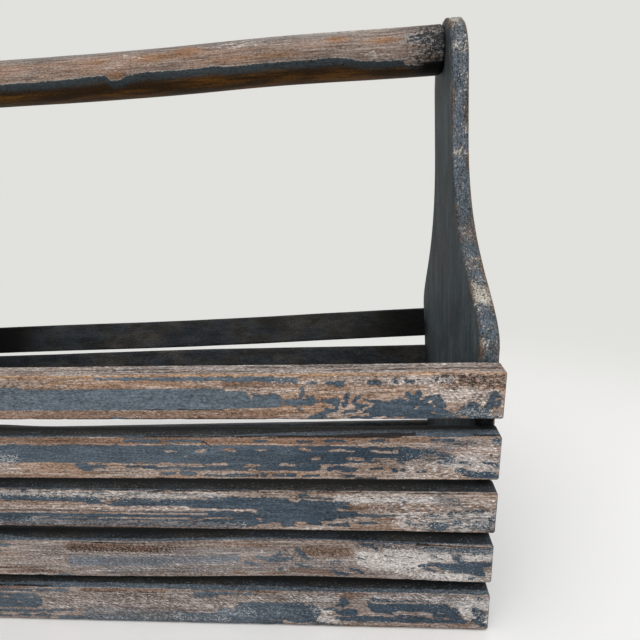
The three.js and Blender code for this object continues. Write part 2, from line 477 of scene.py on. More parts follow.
def makeWornSlat(part):
    material, tree, shader = startFinish("wornSlat", part)
    tone = tonesOf(part)
    place = attribute(tree, "place", "Vector")
    pale = attribute(tree, "pale")
    streak = attribute(tree, "streak")
    grey = attribute(tree, "grey")
    drawn = timesPlus(tree, streak, -0.35, 0.55)      # flecks are longer where the paint is streaky
    grain = useGroup(tree, woodGrain, Place=place)
    # bare wood with warm bands, brown fibres and stains, a pale wash and primer left in its pores
    wood = mixColour(tree, rise(tree, grain["Broad"], 0.43, 0.57), tone["bareTan"], tone["bareWarm"])
    wood = mixColour(tree, grey, wood, tone["bareGrey"])
    fibres = rise(tree, grain["Fibre"], 0.5, 0.64)
    wood = layOver(tree, fibres, rise(tree, grey, 0.1, 0.4, 0.5, 0.75), wood, tone["fibreBrown"])
    wood = mixColour(tree, rise(tree, grain["Fibre"], 0.36, 0.47, 0.45, 0), wood, tone["primer"])
    rust = chipped(tree, place, "rust", 0.6, 9.0)
    wood = layOver(tree, rust["Mask"], 0.7, wood, tone["rustBrown"])
    wood = flecked(tree, wood, place, 0.5, tone["fibreBrown"], Amount=0.48, Size=0.9, Long=drawn, Shift=2.0)
    smears = grained(tree, place, 0.05, 0.16, 4, 0.6)
    wash = timesPlus(tree, smears, 1.1, minus(tree, pale, 1.0))
    washed = rise(tree, wash, 0, 0.42, 0, 0.8)
    wood = mixColour(tree, washed, wood, tone["limed"])
    wood = flecked(
        tree, wood, place, mixValue(tree, washed, 0.75, 0.5), tone["primer"],
        Amount=times(tree, pale, 0.9), Size=0.85, Long=drawn)
    # paint rubbed to a haze
    haze = attribute(tree, "haze")
    rubbed = useGroup(tree, flecks, Place=place, Amount=times(tree, haze, 1.2), Size=1.1, Shift=9.0)
    rubbed = timesPlus(tree, haze, 0.45, times(tree, rubbed["Mask"], 0.5), clamp=True)
    wood = layOver(tree, rubbed, times(tree, haze, 2.0, clamp=True), wood, tone["hazeBlue"])
    # slate-blue coat, torn along its edges and in crumbs beyond them
    drift = minus(tree, grained(tree, place, 0.06, 0.4, 5, 0.7), 0.5)
    depth = timesPlus(tree, drift, 1.8, attribute(tree, "deep"), clamp=True)
    blue = mixColour(tree, depth, tone["slateBlue"], tone["deepBlue"])
    scuffs = timesPlus(tree, haze, 0.5, timesPlus(tree, pale, 0.6, 0.05))
    blue = flecked(tree, blue, place, 0.75, tone["dustyBlue"], Amount=scuffs, Size=0.75, Shift=7.0)
    coat = chipped(tree, place, "blue", streak, attribute(tree, "ragged"))
    loose = timesPlus(tree, haze, 0.28, timesPlus(tree, pale, 0.5, 0.02))
    crumbs = useGroup(tree, flecks, Place=place, Amount=loose, Size=1.1, Long=drawn, Shift=5.0)
    covered = calc(tree, "MAXIMUM", coat["Mask"], crumbs["Mask"])
    colour = mixColour(tree, covered, wood, blue)
    colour = layOver(tree, coat["Rim"], 0.2, colour, tone["fibreBrown"])
    # slanting saw marks
    turned = tree.nodes.new("ShaderNodeVectorRotate")
    turned.rotation_type = "Z_AXIS"
    turned.inputs["Angle"].default_value = math.radians(part["sawAngle"])
    feed(tree, place, turned.inputs["Vector"])
    cuts = grained(tree, turned.outputs[0], 0.14, 1.0, 3, 0.65)
    sawn = times(tree, attribute(tree, "sawn"), mixValue(tree, covered, 1.0, 0.25))
    cuts = times(tree, rise(tree, cuts, 0.4, 0.62, -0.42, 0.5), sawn)
    colour = dimmed(tree, colour, plus(tree, cuts, 1.0))
    # bare wood along the upper arris, and black cracks
    worn = chipped(tree, place, "wear", 0.8, 7.0)
    arris = mixColour(tree, times(tree, grey, 2.0, clamp=True), tone["arrisTan"], tone["rustBrown"])
    colour = layOver(tree, worn["Mask"], 0.75, colour, arris)
    gaping = chipped(tree, place, "crack", 0.9, 3.0)
    colour = layOver(tree, gaping["Mask"], 0.9, colour, tone["crack"])
    # dark inner faces, and painted shade towards the back of the tops
    clouds = grained(tree, place, 0.02, 0.04, 5, 0.68)
    dark = mixColour(tree, rise(tree, clouds, 0.4, 0.6), tone["charcoal"], tone["charcoalBrown"])
    stain = grained(tree, place, 0.04, 0.09, 5, 0.7)
    dark = dimmed(tree, dark, rise(tree, stain, 0.36, 0.64, 0.62, 1.5))
    inner = chipped(tree, place, "inside", 0.5, 6.0)
    dark = flecked(
        tree, dark, place, 0.45, tone["dustyBlue"],
        Amount=attribute(tree, "motes"), Size=0.75, Shift=8.0)
    colour = mixColour(tree, inner["Mask"], colour, dark)
    colour = flecked(
        tree, colour, place, 0.85, tone["grime"],
        Amount=attribute(tree, "grime"), Size=0.9, Shift=3.0)
    painted = calc(tree, "MAXIMUM", covered, inner["Mask"])
    uneven = mixValue(tree, painted, mixValue(tree, washed, 0.85, 0.5), 0.72)
    finishSurface(tree, shader, part, place, colour, uneven, minus(tree, 1.0, painted))
    addRelief(tree, shader, part, timesPlus(tree, covered, 0.6, times(tree, grain["Fibre"], 0.9)))
    return material


boardFinish = {
    "charcoal": (46, 55, 60),
    "charcoalPale": (71, 80, 84),
    "slateBlue": (82, 91, 100),
    "primer": (186, 178, 165),
    "rustBrown": (102, 82, 66),
    "stain": (66, 61, 54),
    "grime": (28, 26, 26),
    "gloss": 0.15,
    "bareRough": 0.9,
    "paintRough": 0.75,
    "bump": 0.4,
    "bumpDepth": 0.3 * mm,
}


def makeBoardPaint(part):
    material, tree, shader = startFinish("boardPaint", part)
    tone = tonesOf(part)
    across = splitXyz(tree, tree.nodes.new("ShaderNodeTexCoord").outputs["Object"])
    place = joinXyz(tree, across["Z"], across["Y"], across["X"])      # the grain stands upright
    grain = useGroup(tree, woodGrain, Place=place)
    # smooth dark faces with a few scuffs
    face = mixColour(tree, rise(tree, grain["Broad"], 0.2, 0.8), tone["charcoal"], tone["charcoalPale"])
    mottle = grained(tree, place, 0.03, 0.06, 6, 0.72)
    face = dimmed(tree, face, rise(tree, mottle, 0.36, 0.64, 0.72, 1.32))
    face = mixColour(tree, rise(tree, grain["Fibre"], 0.44, 0.62, 0, 0.2), face, tone["grime"])
    face = flecked(tree, face, place, 0.6, tone["grime"], Amount=0.34, Size=1.6, Long=0.4)
    stain = grained(tree, place, 0.03, 0.09, 4, 0.6)
    face = mixColour(tree, rise(tree, stain, 0.45, 0.7, 0, 0.5), face, tone["stain"])
    # painted light: the faces are painted lighter towards the bottom
    face = dimmed(tree, face, timesPlus(tree, attribute(tree, "low"), 0.6, 1.12))
    # edges worn to a speckle of paint, primer and wood
    edge = mixColour(tree, rise(tree, grain["Broad"], 0.48, 0.68), tone["slateBlue"], tone["charcoalPale"])
    edge = flecked(
        tree, edge, place, 0.6, tone["rustBrown"],
        Amount=attribute(tree, "rust"), Size=1.5, Shift=4.0)
    clumps = grained(tree, place, 0.12, 0.2, 3, 0.6)
    rubbed = times(tree, attribute(tree, "pale"), rise(tree, clumps, 0.38, 0.62, 0.7, 1.2))
    edge = flecked(tree, edge, place, 0.72, tone["primer"], Amount=rubbed, Size=0.72, Shift=1.0)
    grimy = rise(tree, clumps, 0.4, 0.6, 0.48, 0.33)
    edge = flecked(tree, edge, place, 0.75, tone["grime"], Amount=grimy, Size=0.8, Shift=6.0)
    onEdge = attribute(tree, "edge")
    colour = mixColour(tree, onEdge, face, edge)
    worn = chipped(tree, place, "wear", 0.6, 12.0)
    colour = layOver(tree, worn["Mask"], 0.7, colour, tone["rustBrown"])
    finishSurface(tree, shader, part, place, colour, mixValue(tree, onEdge, 0.4, 1.1), worn["Mask"])
    addRelief(tree, shader, part, grain["Fibre"])
    return material


handleFinish = {
    "bareTan": (156, 127, 108),
    "bareGrey": (130, 123, 118),
    "fibreBrown": (92, 70, 58),
    "orange": (150, 110, 78),
    "slateBlue": (56, 64, 68),
    "primer": (192, 184, 178),
    "underside": (110, 72, 26),
    "underDark": (54, 36, 14),
    "grime": (30, 30, 34),
    "gloss": 0.2,
    "bareRough": 0.85,
    "paintRough": 0.65,
    "bump": 0.6,
    "bumpDepth": 0.4 * mm,
}


def makeWornHandle(part):
    material, tree, shader = startFinish("wornHandle", part)
    tone = tonesOf(part)
    place = attribute(tree, "place", "Vector")
    pale = attribute(tree, "pale")
    grain = useGroup(tree, woodGrain, Place=place)
    greyed = rise(tree, grain["Broad"], 0.4, 0.62)
    greyed = timesPlus(tree, greyed, 0.5, attribute(tree, "grey"), clamp=True)
    wood = mixColour(tree, greyed, tone["bareTan"], tone["bareGrey"])
    warm = timesPlus(tree, grain["Broad"], 1.6, minus(tree, attribute(tree, "rust"), 0.8))
    wood = mixColour(tree, rise(tree, warm, 0.1, 1.1, 0, 0.8), wood, tone["orange"])
    wood = mixColour(tree, rise(tree, grain["Fibre"], 0.5, 0.64, 0, 0.8), wood, tone["fibreBrown"])
    wood = mixColour(tree, rise(tree, grain["Fibre"], 0.36, 0.46, 0.4, 0), wood, tone["primer"])
    wood = flecked(tree, wood, place, 0.45, tone["fibreBrown"], Amount=0.4, Size=1.0, Long=0.15, Shift=2.0)
    wood = flecked(tree, wood, place, 0.7, tone["primer"], Amount=pale, Size=1.0, Long=0.2)
    # the paint left below, brown underneath and made darker as painted shade
    under = mixColour(tree, rise(tree, grain["Broad"], 0.4, 0.6), tone["underside"], tone["underDark"])
    under = mixColour(tree, rise(tree, grain["Fibre"], 0.46, 0.62), under, tone["underDark"])
    paint = mixColour(tree, attribute(tree, "inside"), tone["slateBlue"], under)
    coat = chipped(tree, place, "blue", 0.3, 8.0)
    colour = mixColour(tree, coat["Mask"], wood, paint)
    colour = layOver(tree, coat["Rim"], 0.7, colour, tone["primer"])
    colour = flecked(
        tree, colour, place, 0.85, tone["grime"],
        Amount=attribute(tree, "grime"), Size=1.2, Shift=3.0)
    uneven = mixValue(tree, coat["Mask"], 0.55, 0.6)
    finishSurface(tree, shader, part, place, colour, uneven, minus(tree, 1.0, coat["Mask"]))
    addRelief(tree, shader, part, times(tree, plus(tree, coat["Mask"], grain["Fibre"]), 0.8))
    return material


ironFinish = {
    "iron": (78, 76, 75),
    "rust": (104, 84, 70),
    "gloss": 0.5,
    "metallic": 0.6,
    "patches": 900,           # per metre
    "ironRough": 0.45,
    "rustRough": 0.7,
    "bump": 0.4,
    "bumpDepth": 0.1 * mm,
}


def makeDarkIron(part):
    material, tree, shader = startFinish("darkIron", part)
    place = tree.nodes.new("ShaderNodeTexCoord").outputs["Object"]
    tone = tonesOf(part)
    patches = noise(tree, place, part["patches"], 3, 0.6)
    colour = mixColour(tree, rise(tree, patches, 0.42, 0.6), tone["iron"], tone["rust"])
    feed(tree, colour, shader.inputs["Base Color"])
    shader.inputs["Metallic"].default_value = part["metallic"]
    rough = rise(tree, patches, 0.4, 0.6, part["ironRough"], part["rustRough"])
    feed(tree, rough, shader.inputs["Roughness"])
    addRelief(tree, shader, part, patches)
    return material


wornSlat = makeWornSlat(slatFinish)
boardPaint = makeBoardPaint(boardFinish)
wornHandle = makeWornHandle(handleFinish)
darkIron = makeDarkIron(ironFinish)
print("finishes mixed")


# Geometry Nodes helpers

def makeTree(name, inputs):
    # inputs maps a label to a number, or to the socket type of anything else
    tree = bpy.data.node_groups.new(name, "GeometryNodeTree")
    for label, value in inputs.items():
        kind = {float: "NodeSocketFloat", int: "NodeSocketInt"}.get(type(value), value)
        socket = tree.interface.new_socket(label, in_out="INPUT", socket_type=kind)
        if not isinstance(value, str):
            socket.default_value = value
    tree.interface.new_socket("Mesh", in_out="OUTPUT", socket_type="NodeSocketGeometry")
    given = tree.nodes.new("NodeGroupInput").outputs
    result = tree.nodes.new("NodeGroupOutput").inputs
    return tree, given, result


def geometryNode(tree, kind, **inputs):
    made = tree.nodes.new(kind)
    for label, value in inputs.items():
        feed(tree, value, made.inputs[label.replace("_", " ")])
    return made


def endTree(tree, mesh, material, result, rounded=True):
    eased = geometryNode(tree, "GeometryNodeSetShadeSmooth", Geometry=mesh, Shade_Smooth=rounded)
    real = geometryNode(tree, "GeometryNodeRealizeInstances", Geometry=eased.outputs[0])
    painted = geometryNode(tree, "GeometryNodeSetMaterial", Geometry=real.outputs[0], Material=material)
    feed(tree, painted.outputs[0], result[0])


def keepField(tree, mesh, name, kind, value):
    keep = tree.nodes.new("GeometryNodeStoreNamedAttribute")
    keep.data_type = kind
    keep.inputs["Name"].default_value = name
    feed(tree, mesh, keep.inputs["Geometry"])
    feed(tree, value, keep.inputs["Value"])
    return keep.outputs[0]


def runTree(tree, name, values, points=None):
    # the tree's result as a plain mesh object at the origin
    holder = bpy.data.objects.new(name + "Maker", points or bpy.data.meshes.new(name + "Maker"))
    scene.collection.objects.link(holder)
    modifier = holder.modifiers.new("maker", "NODES")
    modifier.node_group = tree
    for socket in tree.interface.items_tree:
        if socket.in_out == "INPUT" and socket.name in values:
            modifier[socket.identifier] = values[socket.name]
    holder.update_tag()
    graph = bpy.context.evaluated_depsgraph_get()
    mesh = bpy.data.meshes.new_from_object(
        holder.evaluated_get(graph), preserve_all_data_layers=True, depsgraph=graph)
    holder.modifiers.clear()
    bpy.data.objects.remove(holder)
    mesh.name = name
    made = bpy.data.objects.new(name, mesh)
    scene.collection.objects.link(made)
    return made


def readVectors(mesh, name=None):
    # vertex places, or a vector attribute
    flat = np.zeros(len(mesh.vertices) * 3, np.float32)
    if name:
        mesh.attributes[name].data.foreach_get("vector", flat)
    else:
        mesh.vertices.foreach_get("co", flat)
    return flat.reshape(-1, 3).astype(float)


def readNumbers(mesh, name):
    flat = np.zeros(len(mesh.vertices), np.float32)
    mesh.attributes[name].data.foreach_get("value", flat)
    return flat.astype(float)


def writeNumbers(mesh, name, values):
    made = mesh.attributes.get(name) or mesh.attributes.new(name, "FLOAT", "POINT")
    made.data.foreach_set("value", np.asarray(values, np.float32).ravel())


def writeVectors(mesh, name, values):
    made = mesh.attributes.get(name) or mesh.attributes.new(name, "FLOAT_VECTOR", "POINT")
    made.data.foreach_set("vector", np.asarray(values, np.float32).ravel())


def smooth(values, low, high):
    share = np.clip((values - low) / (high - low), 0, 1)
    return share * share * (3 - 2 * share)


def settle(piece, slot, *nodes):
    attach(piece, "root")
    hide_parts(*nodes)


def bowed(tree, along, given):
    # a bell-shaped rise along a piece
    away = divided(tree, minus(tree, along, given["Bow Centre"]), given["Bow Width"])
    bell = calc(tree, "EXPONENT", times(tree, square(tree, away), -1.0))
    return times(tree, bell, given["Bow Rise"])


# Slats: a rounded plank with chipped arrises, a slow wave and a slight bow

def makeSlatTree():
    tree, given, result = makeTree("slatTree", {
        "Length": 0.48,
        "Height": 0.0275,
        "Thickness": 0.014,
        "Arris": 0.0015,
        "Chips": 0.0009,
        "Wave": 0.0005,
        "Bow Centre": 0.0,
        "Bow Width": 0.1,
        "Bow Rise": 0.0,
        "Cells Along": 300,
        "Cells Up": 30,
        "Cells Deep": 14,
        "Seed": 0.0,
        "Material": "NodeSocketMaterial",
    })
    size = joinXyz(tree, given["Length"], given["Height"], given["Thickness"])
    box = geometryNode(
        tree, "GeometryNodeMeshCube", Size=size,
        Vertices_X=given["Cells Along"], Vertices_Y=given["Cells Up"], Vertices_Z=given["Cells Deep"])
    half = vectorCalc(tree, "SCALE", size, scale=0.5)
    start = tree.nodes.new("GeometryNodeInputPosition").outputs[0]
    share = vectorCalc(tree, "DIVIDE", start, half)
    # rows of points drawn towards the long edges
    crowd = vectorCalc(tree, "MULTIPLY", vectorCalc(tree, "MULTIPLY", share, share), (0, 0.25, 0.25))
    crowd = vectorCalc(tree, "SUBTRACT", (1, 1.25, 1.25), crowd)
    place = vectorCalc(tree, "MULTIPLY", start, crowd)
    # rounded arrises
    inner = vectorCalc(tree, "SUBTRACT", half, threefold(tree, given["Arris"]))
    core = vectorCalc(tree, "MAXIMUM", place, vectorCalc(tree, "SCALE", inner, scale=-1.0))
    core = vectorCalc(tree, "MINIMUM", core, inner)
    outward = vectorCalc(tree, "NORMALIZE", vectorCalc(tree, "SUBTRACT", place, core))
    # chips along the arrises
    reach = splitXyz(tree, vectorCalc(tree, "ABSOLUTE", vectorCalc(tree, "DIVIDE", place, half)))
    nearArris = times(tree, rise(tree, reach["Y"], 0.84, 0.98), rise(tree, reach["Z"], 0.68, 0.97))
    shift = joinXyz(tree, given["Seed"], times(tree, given["Seed"], 0.37), 0.0)
    seeded = vectorCalc(tree, "ADD", place, shift)
    nicks = noise(tree, vectorCalc(tree, "MULTIPLY", seeded, (0.3, 1, 1)), 190, 4, 0.6)
    nicks = times(tree, rise(tree, nicks, 0.5, 0.75), nearArris)
    depth = minus(tree, given["Arris"], times(tree, nicks, given["Chips"]))
    shaped = vectorCalc(tree, "ADD", core, vectorCalc(tree, "SCALE", outward, scale=depth))
    # slow wave and bow
    along = splitXyz(tree, seeded)["X"]
    waveUp = swing(tree, joinXyz(tree, along, 0.0, 3.0), 11, 2)
    waveOut = swing(tree, joinXyz(tree, along, 5.0, 0.0), 9, 2)
    bow = bowed(tree, splitXyz(tree, place)["X"], given)
    up = timesPlus(tree, waveUp, given["Wave"], bow)
    lift = joinXyz(tree, 0.0, up, times(tree, waveOut, given["Wave"]))
    shaped = vectorCalc(tree, "ADD", shaped, lift)
    mesh = keepField(tree, box.outputs["Mesh"], "place", "FLOAT_VECTOR", place)
    mesh = keepField(tree, mesh, "arris", "FLOAT", nearArris)
    moved = geometryNode(tree, "GeometryNodeSetPosition", Geometry=mesh, Position=shaped)
    endTree(tree, moved.outputs[0], given["Material"], result)
    return tree


def plankFrame(name):
    # middle, turn and sizes of a packed slat: x along it, y up the wall, z out of the wall
    points = readVectors(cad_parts[name].data)
    ends = []
    for side in (-1, 1):
        reach = points[:, 0] * side
        ends.append(np.unique(points[reach > reach.max() - 1 * mm].round(6), axis=0))
    left, right = (end.mean(0) for end in ends)
    middle = (left + right) / 2
    spread = ends[1] - right
    up = np.linalg.svd(spread)[2][0]
    isBottom = abs(up[2]) < 0.5
    up = up * np.sign(up[1] if isBottom else up[2])
    out = np.cross((right - left) / np.linalg.norm(right - left), up)
    out = out * np.sign(-out[2] if isBottom else out[1] * middle[1])
    along = np.cross(up, out)
    turn = Matrix((along, up, out)).transposed().to_4x4()
    return {
        "place": Matrix.Translation(middle) @ turn,
        "Length": float(np.linalg.norm(right - left)),
        "Height": float(np.ptp(spread @ up)),
        "Thickness": float(np.ptp(spread @ out)),
        "out": Vector(out),
    }


# Paint left on the fronts of the slats, top slat first: strokes from (x, up) to (x, up) with a half-width,
# and a strength where it isn't full. Millimetres from the slat's middle and its lower edge
paintStrokes = [
    {
        "blue": [
            (-60, 12.9, 88, 12.9, 6.5), (85, 12.6, 104, 12.5, 5.2), (104, 12, 119, 12, 4),
            (20, 25.6, 60, 25.3, 0.8), (60, 25.2, 120, 25.2, 1.1), (92, 24.8, 118, 24.8, 1.5),
            (25, 1.2, 35, 1, 0.8), (118, 24.5, 131, 24, 1.4, 0.7), (136, 22, 141, 22, 0.8),
            (147, 22, 149, 22.5, 1.2), (151.5, 22, 156, 22, 1.4), (169, 22.5, 174, 22, 1.4),
            (183, 24.5, 184, 22, 0.9), (188, 23, 192, 22.5, 0.7), (126, 11, 139, 11, 2.1),
            (132, 6.5, 133.5, 19, 1), (136, 14.5, 139, 13.5, 0.8), (144, 12.3, 153, 12, 0.9),
            (148, 11, 152, 10, 1.3), (152, 12, 151, 7, 1.2), (140, 3, 150, 6.5, 1.2),
            (146, 6.5, 153, 6, 1.4), (153, 6, 157, 4.5, 1.2), (137, 1.5, 146, 2, 1.2),
            (155.5, 9, 158, 15, 1.2), (161.5, 12, 164, 14, 1), (160.5, 11, 164, 8, 1.5),
            (164, 8, 170, 7, 2), (166, 12, 170, 11, 0.7), (170, 11, 178, 10.5, 1.1),
            (158, 5.3, 168, 5, 0.8), (160, 1.5, 170, 1.5, 1), (172, 6, 182, 6, 3.7), (180, 7, 186, 8, 5),
            (184, 7, 196, 7, 5), (190, 5, 205, 4, 4), (189, 15, 193, 13, 1.6), (195, 17, 195, 12, 1.2),
            (199, 13, 204, 13, 1.2), (204, 13, 208, 8, 2.2), (196, 9, 204, 7, 3), (205, 6, 210, 4, 2),
            (209, 3, 216, 1.5, 1.3), (217, 5, 222, 8.5, 1.8), (222, 9, 226, 8, 1.4),
            (220, 5, 230, 4.5, 2.2, 0.85), (231, 6, 234, 15, 1.9), (233, 15.5, 236, 14, 1.4),
            (235, 8, 237, 10, 1.3), (222, 2, 236, 1.5, 1.4, 0.65),
        ],
        "bare": [
            (194.2, 7.3, 194.4, 7.3, 0.7), (203, 4.5, 203, 4.5, 0.7), (200.3, 11.5, 200.6, 10.8, 0.8),
            (202.5, 9, 203.5, 8.6, 0.7), (104.5, 16.5, 106, 14, 0.9), (166, 10, 167.5, 9.8, 0.6),
            (158.5, 7.5, 162, 16, 0.8), (163, 4.5, 170, 9, 0.8), (152, 4, 158, 8, 0.8),
        ],
        "pale": [
            (205, 15, 228, 15, 6, 0.62), (178, 23, 210, 23, 3, 0.75), (120, 23, 178, 23, 3, 0.58),
            (227, 10, 234, 18, 2, 0.75), (160, 19, 200, 18.5, 1.5, 0.5), (216, 4, 238, 3, 3, 0.55),
            (118, 17, 205, 18, 5, 0.36),
        ],
        "rust": [
            (116, 16.5, 123, 10, 1.2), (92, 21.5, 118, 22, 1.6, 0.85), (45, 7, 90, 6.8, 0.6),
            (7, 4, 22, 4, 1.6, 0.6), (35, 4.5, 66, 4, 1.1, 0.65), (92, 4, 100, 5, 1, 0.6),
            (140, 12, 147, 9, 2, 0.5), (115, 22, 135, 21, 1.2, 0.6), (-60, 3, 116, 3, 3, 0.58),
            (118, 3, 134, 4, 2, 0.5), (208, 26, 222, 25, 1.5, 0.55),
        ],
        "grime": [(206, 24, 238, 22, 5, 0.62), (216, 3, 238, 3, 3, 0.35)],
        "crack": [
            (45, 6.9, 57, 6.7, 0.3, 0.53), (64, 6.9, 89, 6.5, 0.3, 0.53), (5, 0.4, 58, 0.4, 0.7, 0.66),
            (64, 0.4, 106, 0.4, 0.7, 0.66), (104, 27, 140, 27.2, 0.3, 0.48),
            (-60, 30.5, 60, 30.3, 0.3, 0.5), (20, 29, 120, 29.2, 0.3, 0.5),
            (100, 31.5, 200, 31.2, 0.3, 0.5), (150, 29.5, 238, 29.8, 0.3, 0.52),
        ],
        "haze": [(212, 5, 238, 3, 4, 0.5), (206, 24, 238, 22, 4, 0.42)],
        "sawn": [(205, 18, 240, 18, 9, 0.7), (30, 4, 110, 4, 2, 0.6)],
        "calm": [(-60, 13, 100, 13, 10)],
        "streak": 0.2,        # how far the paint breaks into lines along the grain
        "grey": 0.12,         # how far bare wood is greyed
        "deep": (0.1, 0.75),  # depth of the blue near the middle and towards the end
        "wear": 0.7,          # half-width of the bare upper arris
        "shade": (14, 14),    # how far behind the front the top turns dark with painted shade from the slat above
    },
    {
        "blue": [
            (-60, 17.5, 60, 17.5, 5.9), (55, 16.5, 118, 16.5, 6.5), (88, 12, 118, 11, 4),
            (118, 16.6, 150, 16.6, 5.7), (150, 17, 170, 17, 5.2), (168, 16.5, 188, 17, 4.8),
            (186, 17.5, 195, 17.5, 3.2), (195, 19, 203, 19, 1.5, 0.6), (106, 9, 139, 8.6, 2.3),
            (146.5, 7.5, 160, 7.3, 1.3), (152, 9.2, 154, 9, 0.9), (170, 7.5, 175, 8, 0.8),
            (181, 7, 183, 6, 1.1), (186, 7, 188, 7, 0.7), (115, 3.4, 120, 3.5, 0.9),
            (123, 3.3, 127, 3.3, 0.9), (132, 3.4, 140, 3.6, 0.9), (154, 3.2, 160, 3, 1),
            (161, 1.5, 172, 1.2, 0.8), (0, 9, 5, 8, 2.5), (9, 9.5, 14, 9, 0.9), (28, 9, 38, 9, 0.8, 0.8),
            (39, 9, 45, 8.7, 1.2), (45, 7.8, 74, 8.2, 0.9), (60, 8, 100, 8, 1.3),
            (47, 4, 56, 4.5, 0.8, 0.65), (61, 4.5, 68, 4.5, 1.2, 0.65), (74, 3.2, 105, 3, 0.8),
            (108, 3.5, 110, 3.3, 1.2), (30, 26, 50, 26, 1, 0.8), (55, 25.5, 75, 25.7, 0.9, 0.8),
            (106, 26, 112, 25.5, 0.9, 0.7), (130, 25.5, 137, 25.5, 0.8, 0.7),
            (145, 26, 155, 25.8, 0.8, 0.65), (170, 26, 177, 26, 0.9, 0.65),
            (203, 25.5, 222, 25.5, 1.6, 0.5), (236, 26, 240, 25, 1.2, 0.7), (200, 16, 212, 15, 3, 0.5),
            (205, 12, 222, 12, 0.9, 0.8), (217, 7, 223, 5, 2, 0.6), (224, 4.5, 238, 4, 2, 0.65),
            (231, 12, 238, 9.5, 1.2, 0.75), (196, 6, 200, 6, 0.7, 0.8), (212, 24, 225, 23, 1.5, 0.5),
        ],
        "bare": [
            (131.5, 20, 136, 19.5, 1), (148, 19.5, 153, 19.5, 1), (153, 19.2, 160, 19, 0.8),
            (170, 19, 184, 19, 0.9), (137, 14.2, 141, 14.3, 0.8), (157, 14.3, 165, 14.2, 0.9),
            (170, 13.5, 184, 13.7, 0.9), (118, 10.2, 126, 10, 0.8), (45, 10.5, 57, 10.2, 0.9),
            (58.5, 10.3, 62, 10.2, 0.8), (64, 10.2, 73, 10, 0.9), (76, 10.3, 87, 10.2, 0.9),
            (98, 10, 105, 9.8, 1.2), (53, 19.5, 58, 19.5, 0.6), (71, 19.4, 76, 19.6, 0.7),
            (87, 20.2, 93, 19.3, 0.5), (105, 20, 112, 20, 0.5), (63, 15.5, 66, 16, 0.5),
        ],
        "pale": [
            (207, 10, 232, 9, 3, 0.7), (222, 20, 238, 21, 4, 0.58), (190, 5, 240, 12, 8, 0.6),
            (6, 11, 14, 11.3, 0.5, 0.6), (215, 15, 232, 14, 3, 0.5),
        ],
        "rust": [
            (10, 26.2, 28, 26, 1.3, 0.8), (46, 24.8, 52, 24.3, 0.6), (60, 27.5, 120, 27, 1, 0.7),
            (90, 25.5, 118, 25.5, 1.4, 0.65), (115, 26.6, 205, 26.2, 1.9, 0.85),
            (118, 24.2, 165, 24.2, 0.6, 0.6), (195, 21, 210, 20.5, 1, 0.6),
            (200, 16.5, 215, 16, 1.5, 0.5), (-60, 26.4, 116, 26.2, 1.8, 0.72),
            (228, 15, 238, 16, 2, 0.5), (205, 6, 212, 4, 2.5, 0.5),
        ],
        "grime": [
            (138, 27, 195, 27, 1, 0.5), (195, 16, 238, 16, 8, 0.25), (198, 21, 216, 21, 3, 0.38),
        ],
        "crack": [
            (40, 28.3, 120, 28.3, 0.25, 0.52), (118, 28.3, 160, 28.2, 0.4, 0.6),
            (152, 28.4, 172, 28.5, 0.6, 0.68), (165, 28.6, 186, 28.7, 0.9, 0.74),
            (184, 28.6, 194, 29, 0.5, 0.68), (225, 28.4, 240, 28.4, 0.3, 0.57),
            (75, 26, 80, 22, 0.4, 0.55),
        ],
        "haze": [
            (192, 14, 240, 12, 8, 0.32), (212, 26, 240, 24, 3, 0.5), (196, 21, 218, 21, 3, 0.55),
        ],
        "sawn": [(196, 14, 236, 14, 9, 0.4)],
        "streak": 0.7,
        "grey": 0.27,
        "deep": (0.52, 1.05),
        "wear": 0,
        "shade": (3.2, 8.5),
    },
    {
        "blue": [
            (-60, 22, 5, 21, 2, 0.7), (0, 20, 10, 20, 2.4, 0.75), (12, 18, 25, 19, 2.2, 0.85),
            (20, 21, 90, 21, 0.9), (25, 19.4, 100, 18.5, 1.2), (60, 18, 110, 18, 2.4),
            (85, 21.5, 120, 21.5, 1.6), (75, 22.8, 115, 23, 0.8, 0.7), (-60, 9.5, 70, 9.5, 1.3),
            (-60, 6.8, 60, 6.6, 0.7), (-60, 4, 70, 4, 2, 0.46), (70, 6.5, 118, 7, 1.5),
            (-60, 12.7, 72, 12.7, 0.4), (12, 18.3, 60, 18.5, 1.3), (-60, 24.5, 95, 24.5, 2.6, 0.45),
            (60, 8.8, 118, 8.8, 1.2), (72, 11.5, 120, 12, 2.4), (100, 14, 120, 14.5, 4),
            (88, 5, 100, 4.5, 1, 0.6), (118, 13.8, 140, 13.8, 7), (112, 18, 120, 18, 3.6),
            (130, 13, 145, 13, 5), (140, 12.5, 158, 12.3, 2.5), (128, 20.5, 150, 19.5, 1.7),
            (140, 21, 156, 20.5, 0.9), (148, 18.5, 155, 18, 1.2), (155, 12, 175, 11.6, 0.9),
            (170, 11.8, 182, 11.8, 0.7), (117, 6, 124, 6, 2.4), (130, 7, 138, 6, 1.5),
            (145, 5, 155, 5.3, 1), (125, 25.5, 133, 26, 0.6), (127, 24, 146, 23.5, 0.6, 0.7),
            (162, 6, 172, 6, 0.9, 0.7), (204, 5.5, 211, 5, 2.2), (206, 3.5, 210, 3, 1.2),
            (217, 7, 220, 8, 1.6), (228, 9, 231, 7, 1), (233, 7, 236, 6, 1.4),
            (236, 10, 238, 12, 1, 0.8), (199, 12.8, 208, 12.5, 0.8), (213, 13, 217, 15, 1),
            (222, 15.7, 232, 15.7, 0.7), (220, 13, 223, 12.5, 0.8, 0.9), (189, 8, 192, 7, 0.8, 0.7),
            (186, 22, 187, 20, 1, 0.8), (208, 23, 216, 22, 3, 0.46), (185, 15, 240, 14, 8, 0.4),
            (195, 7, 240, 6, 5, 0.47),
        ],
        "bare": [
            (-60, 15.4, 60, 15.4, 1.4), (60, 15, 101, 14.4, 1), (-60, 11.7, 72, 11.4, 0.8),
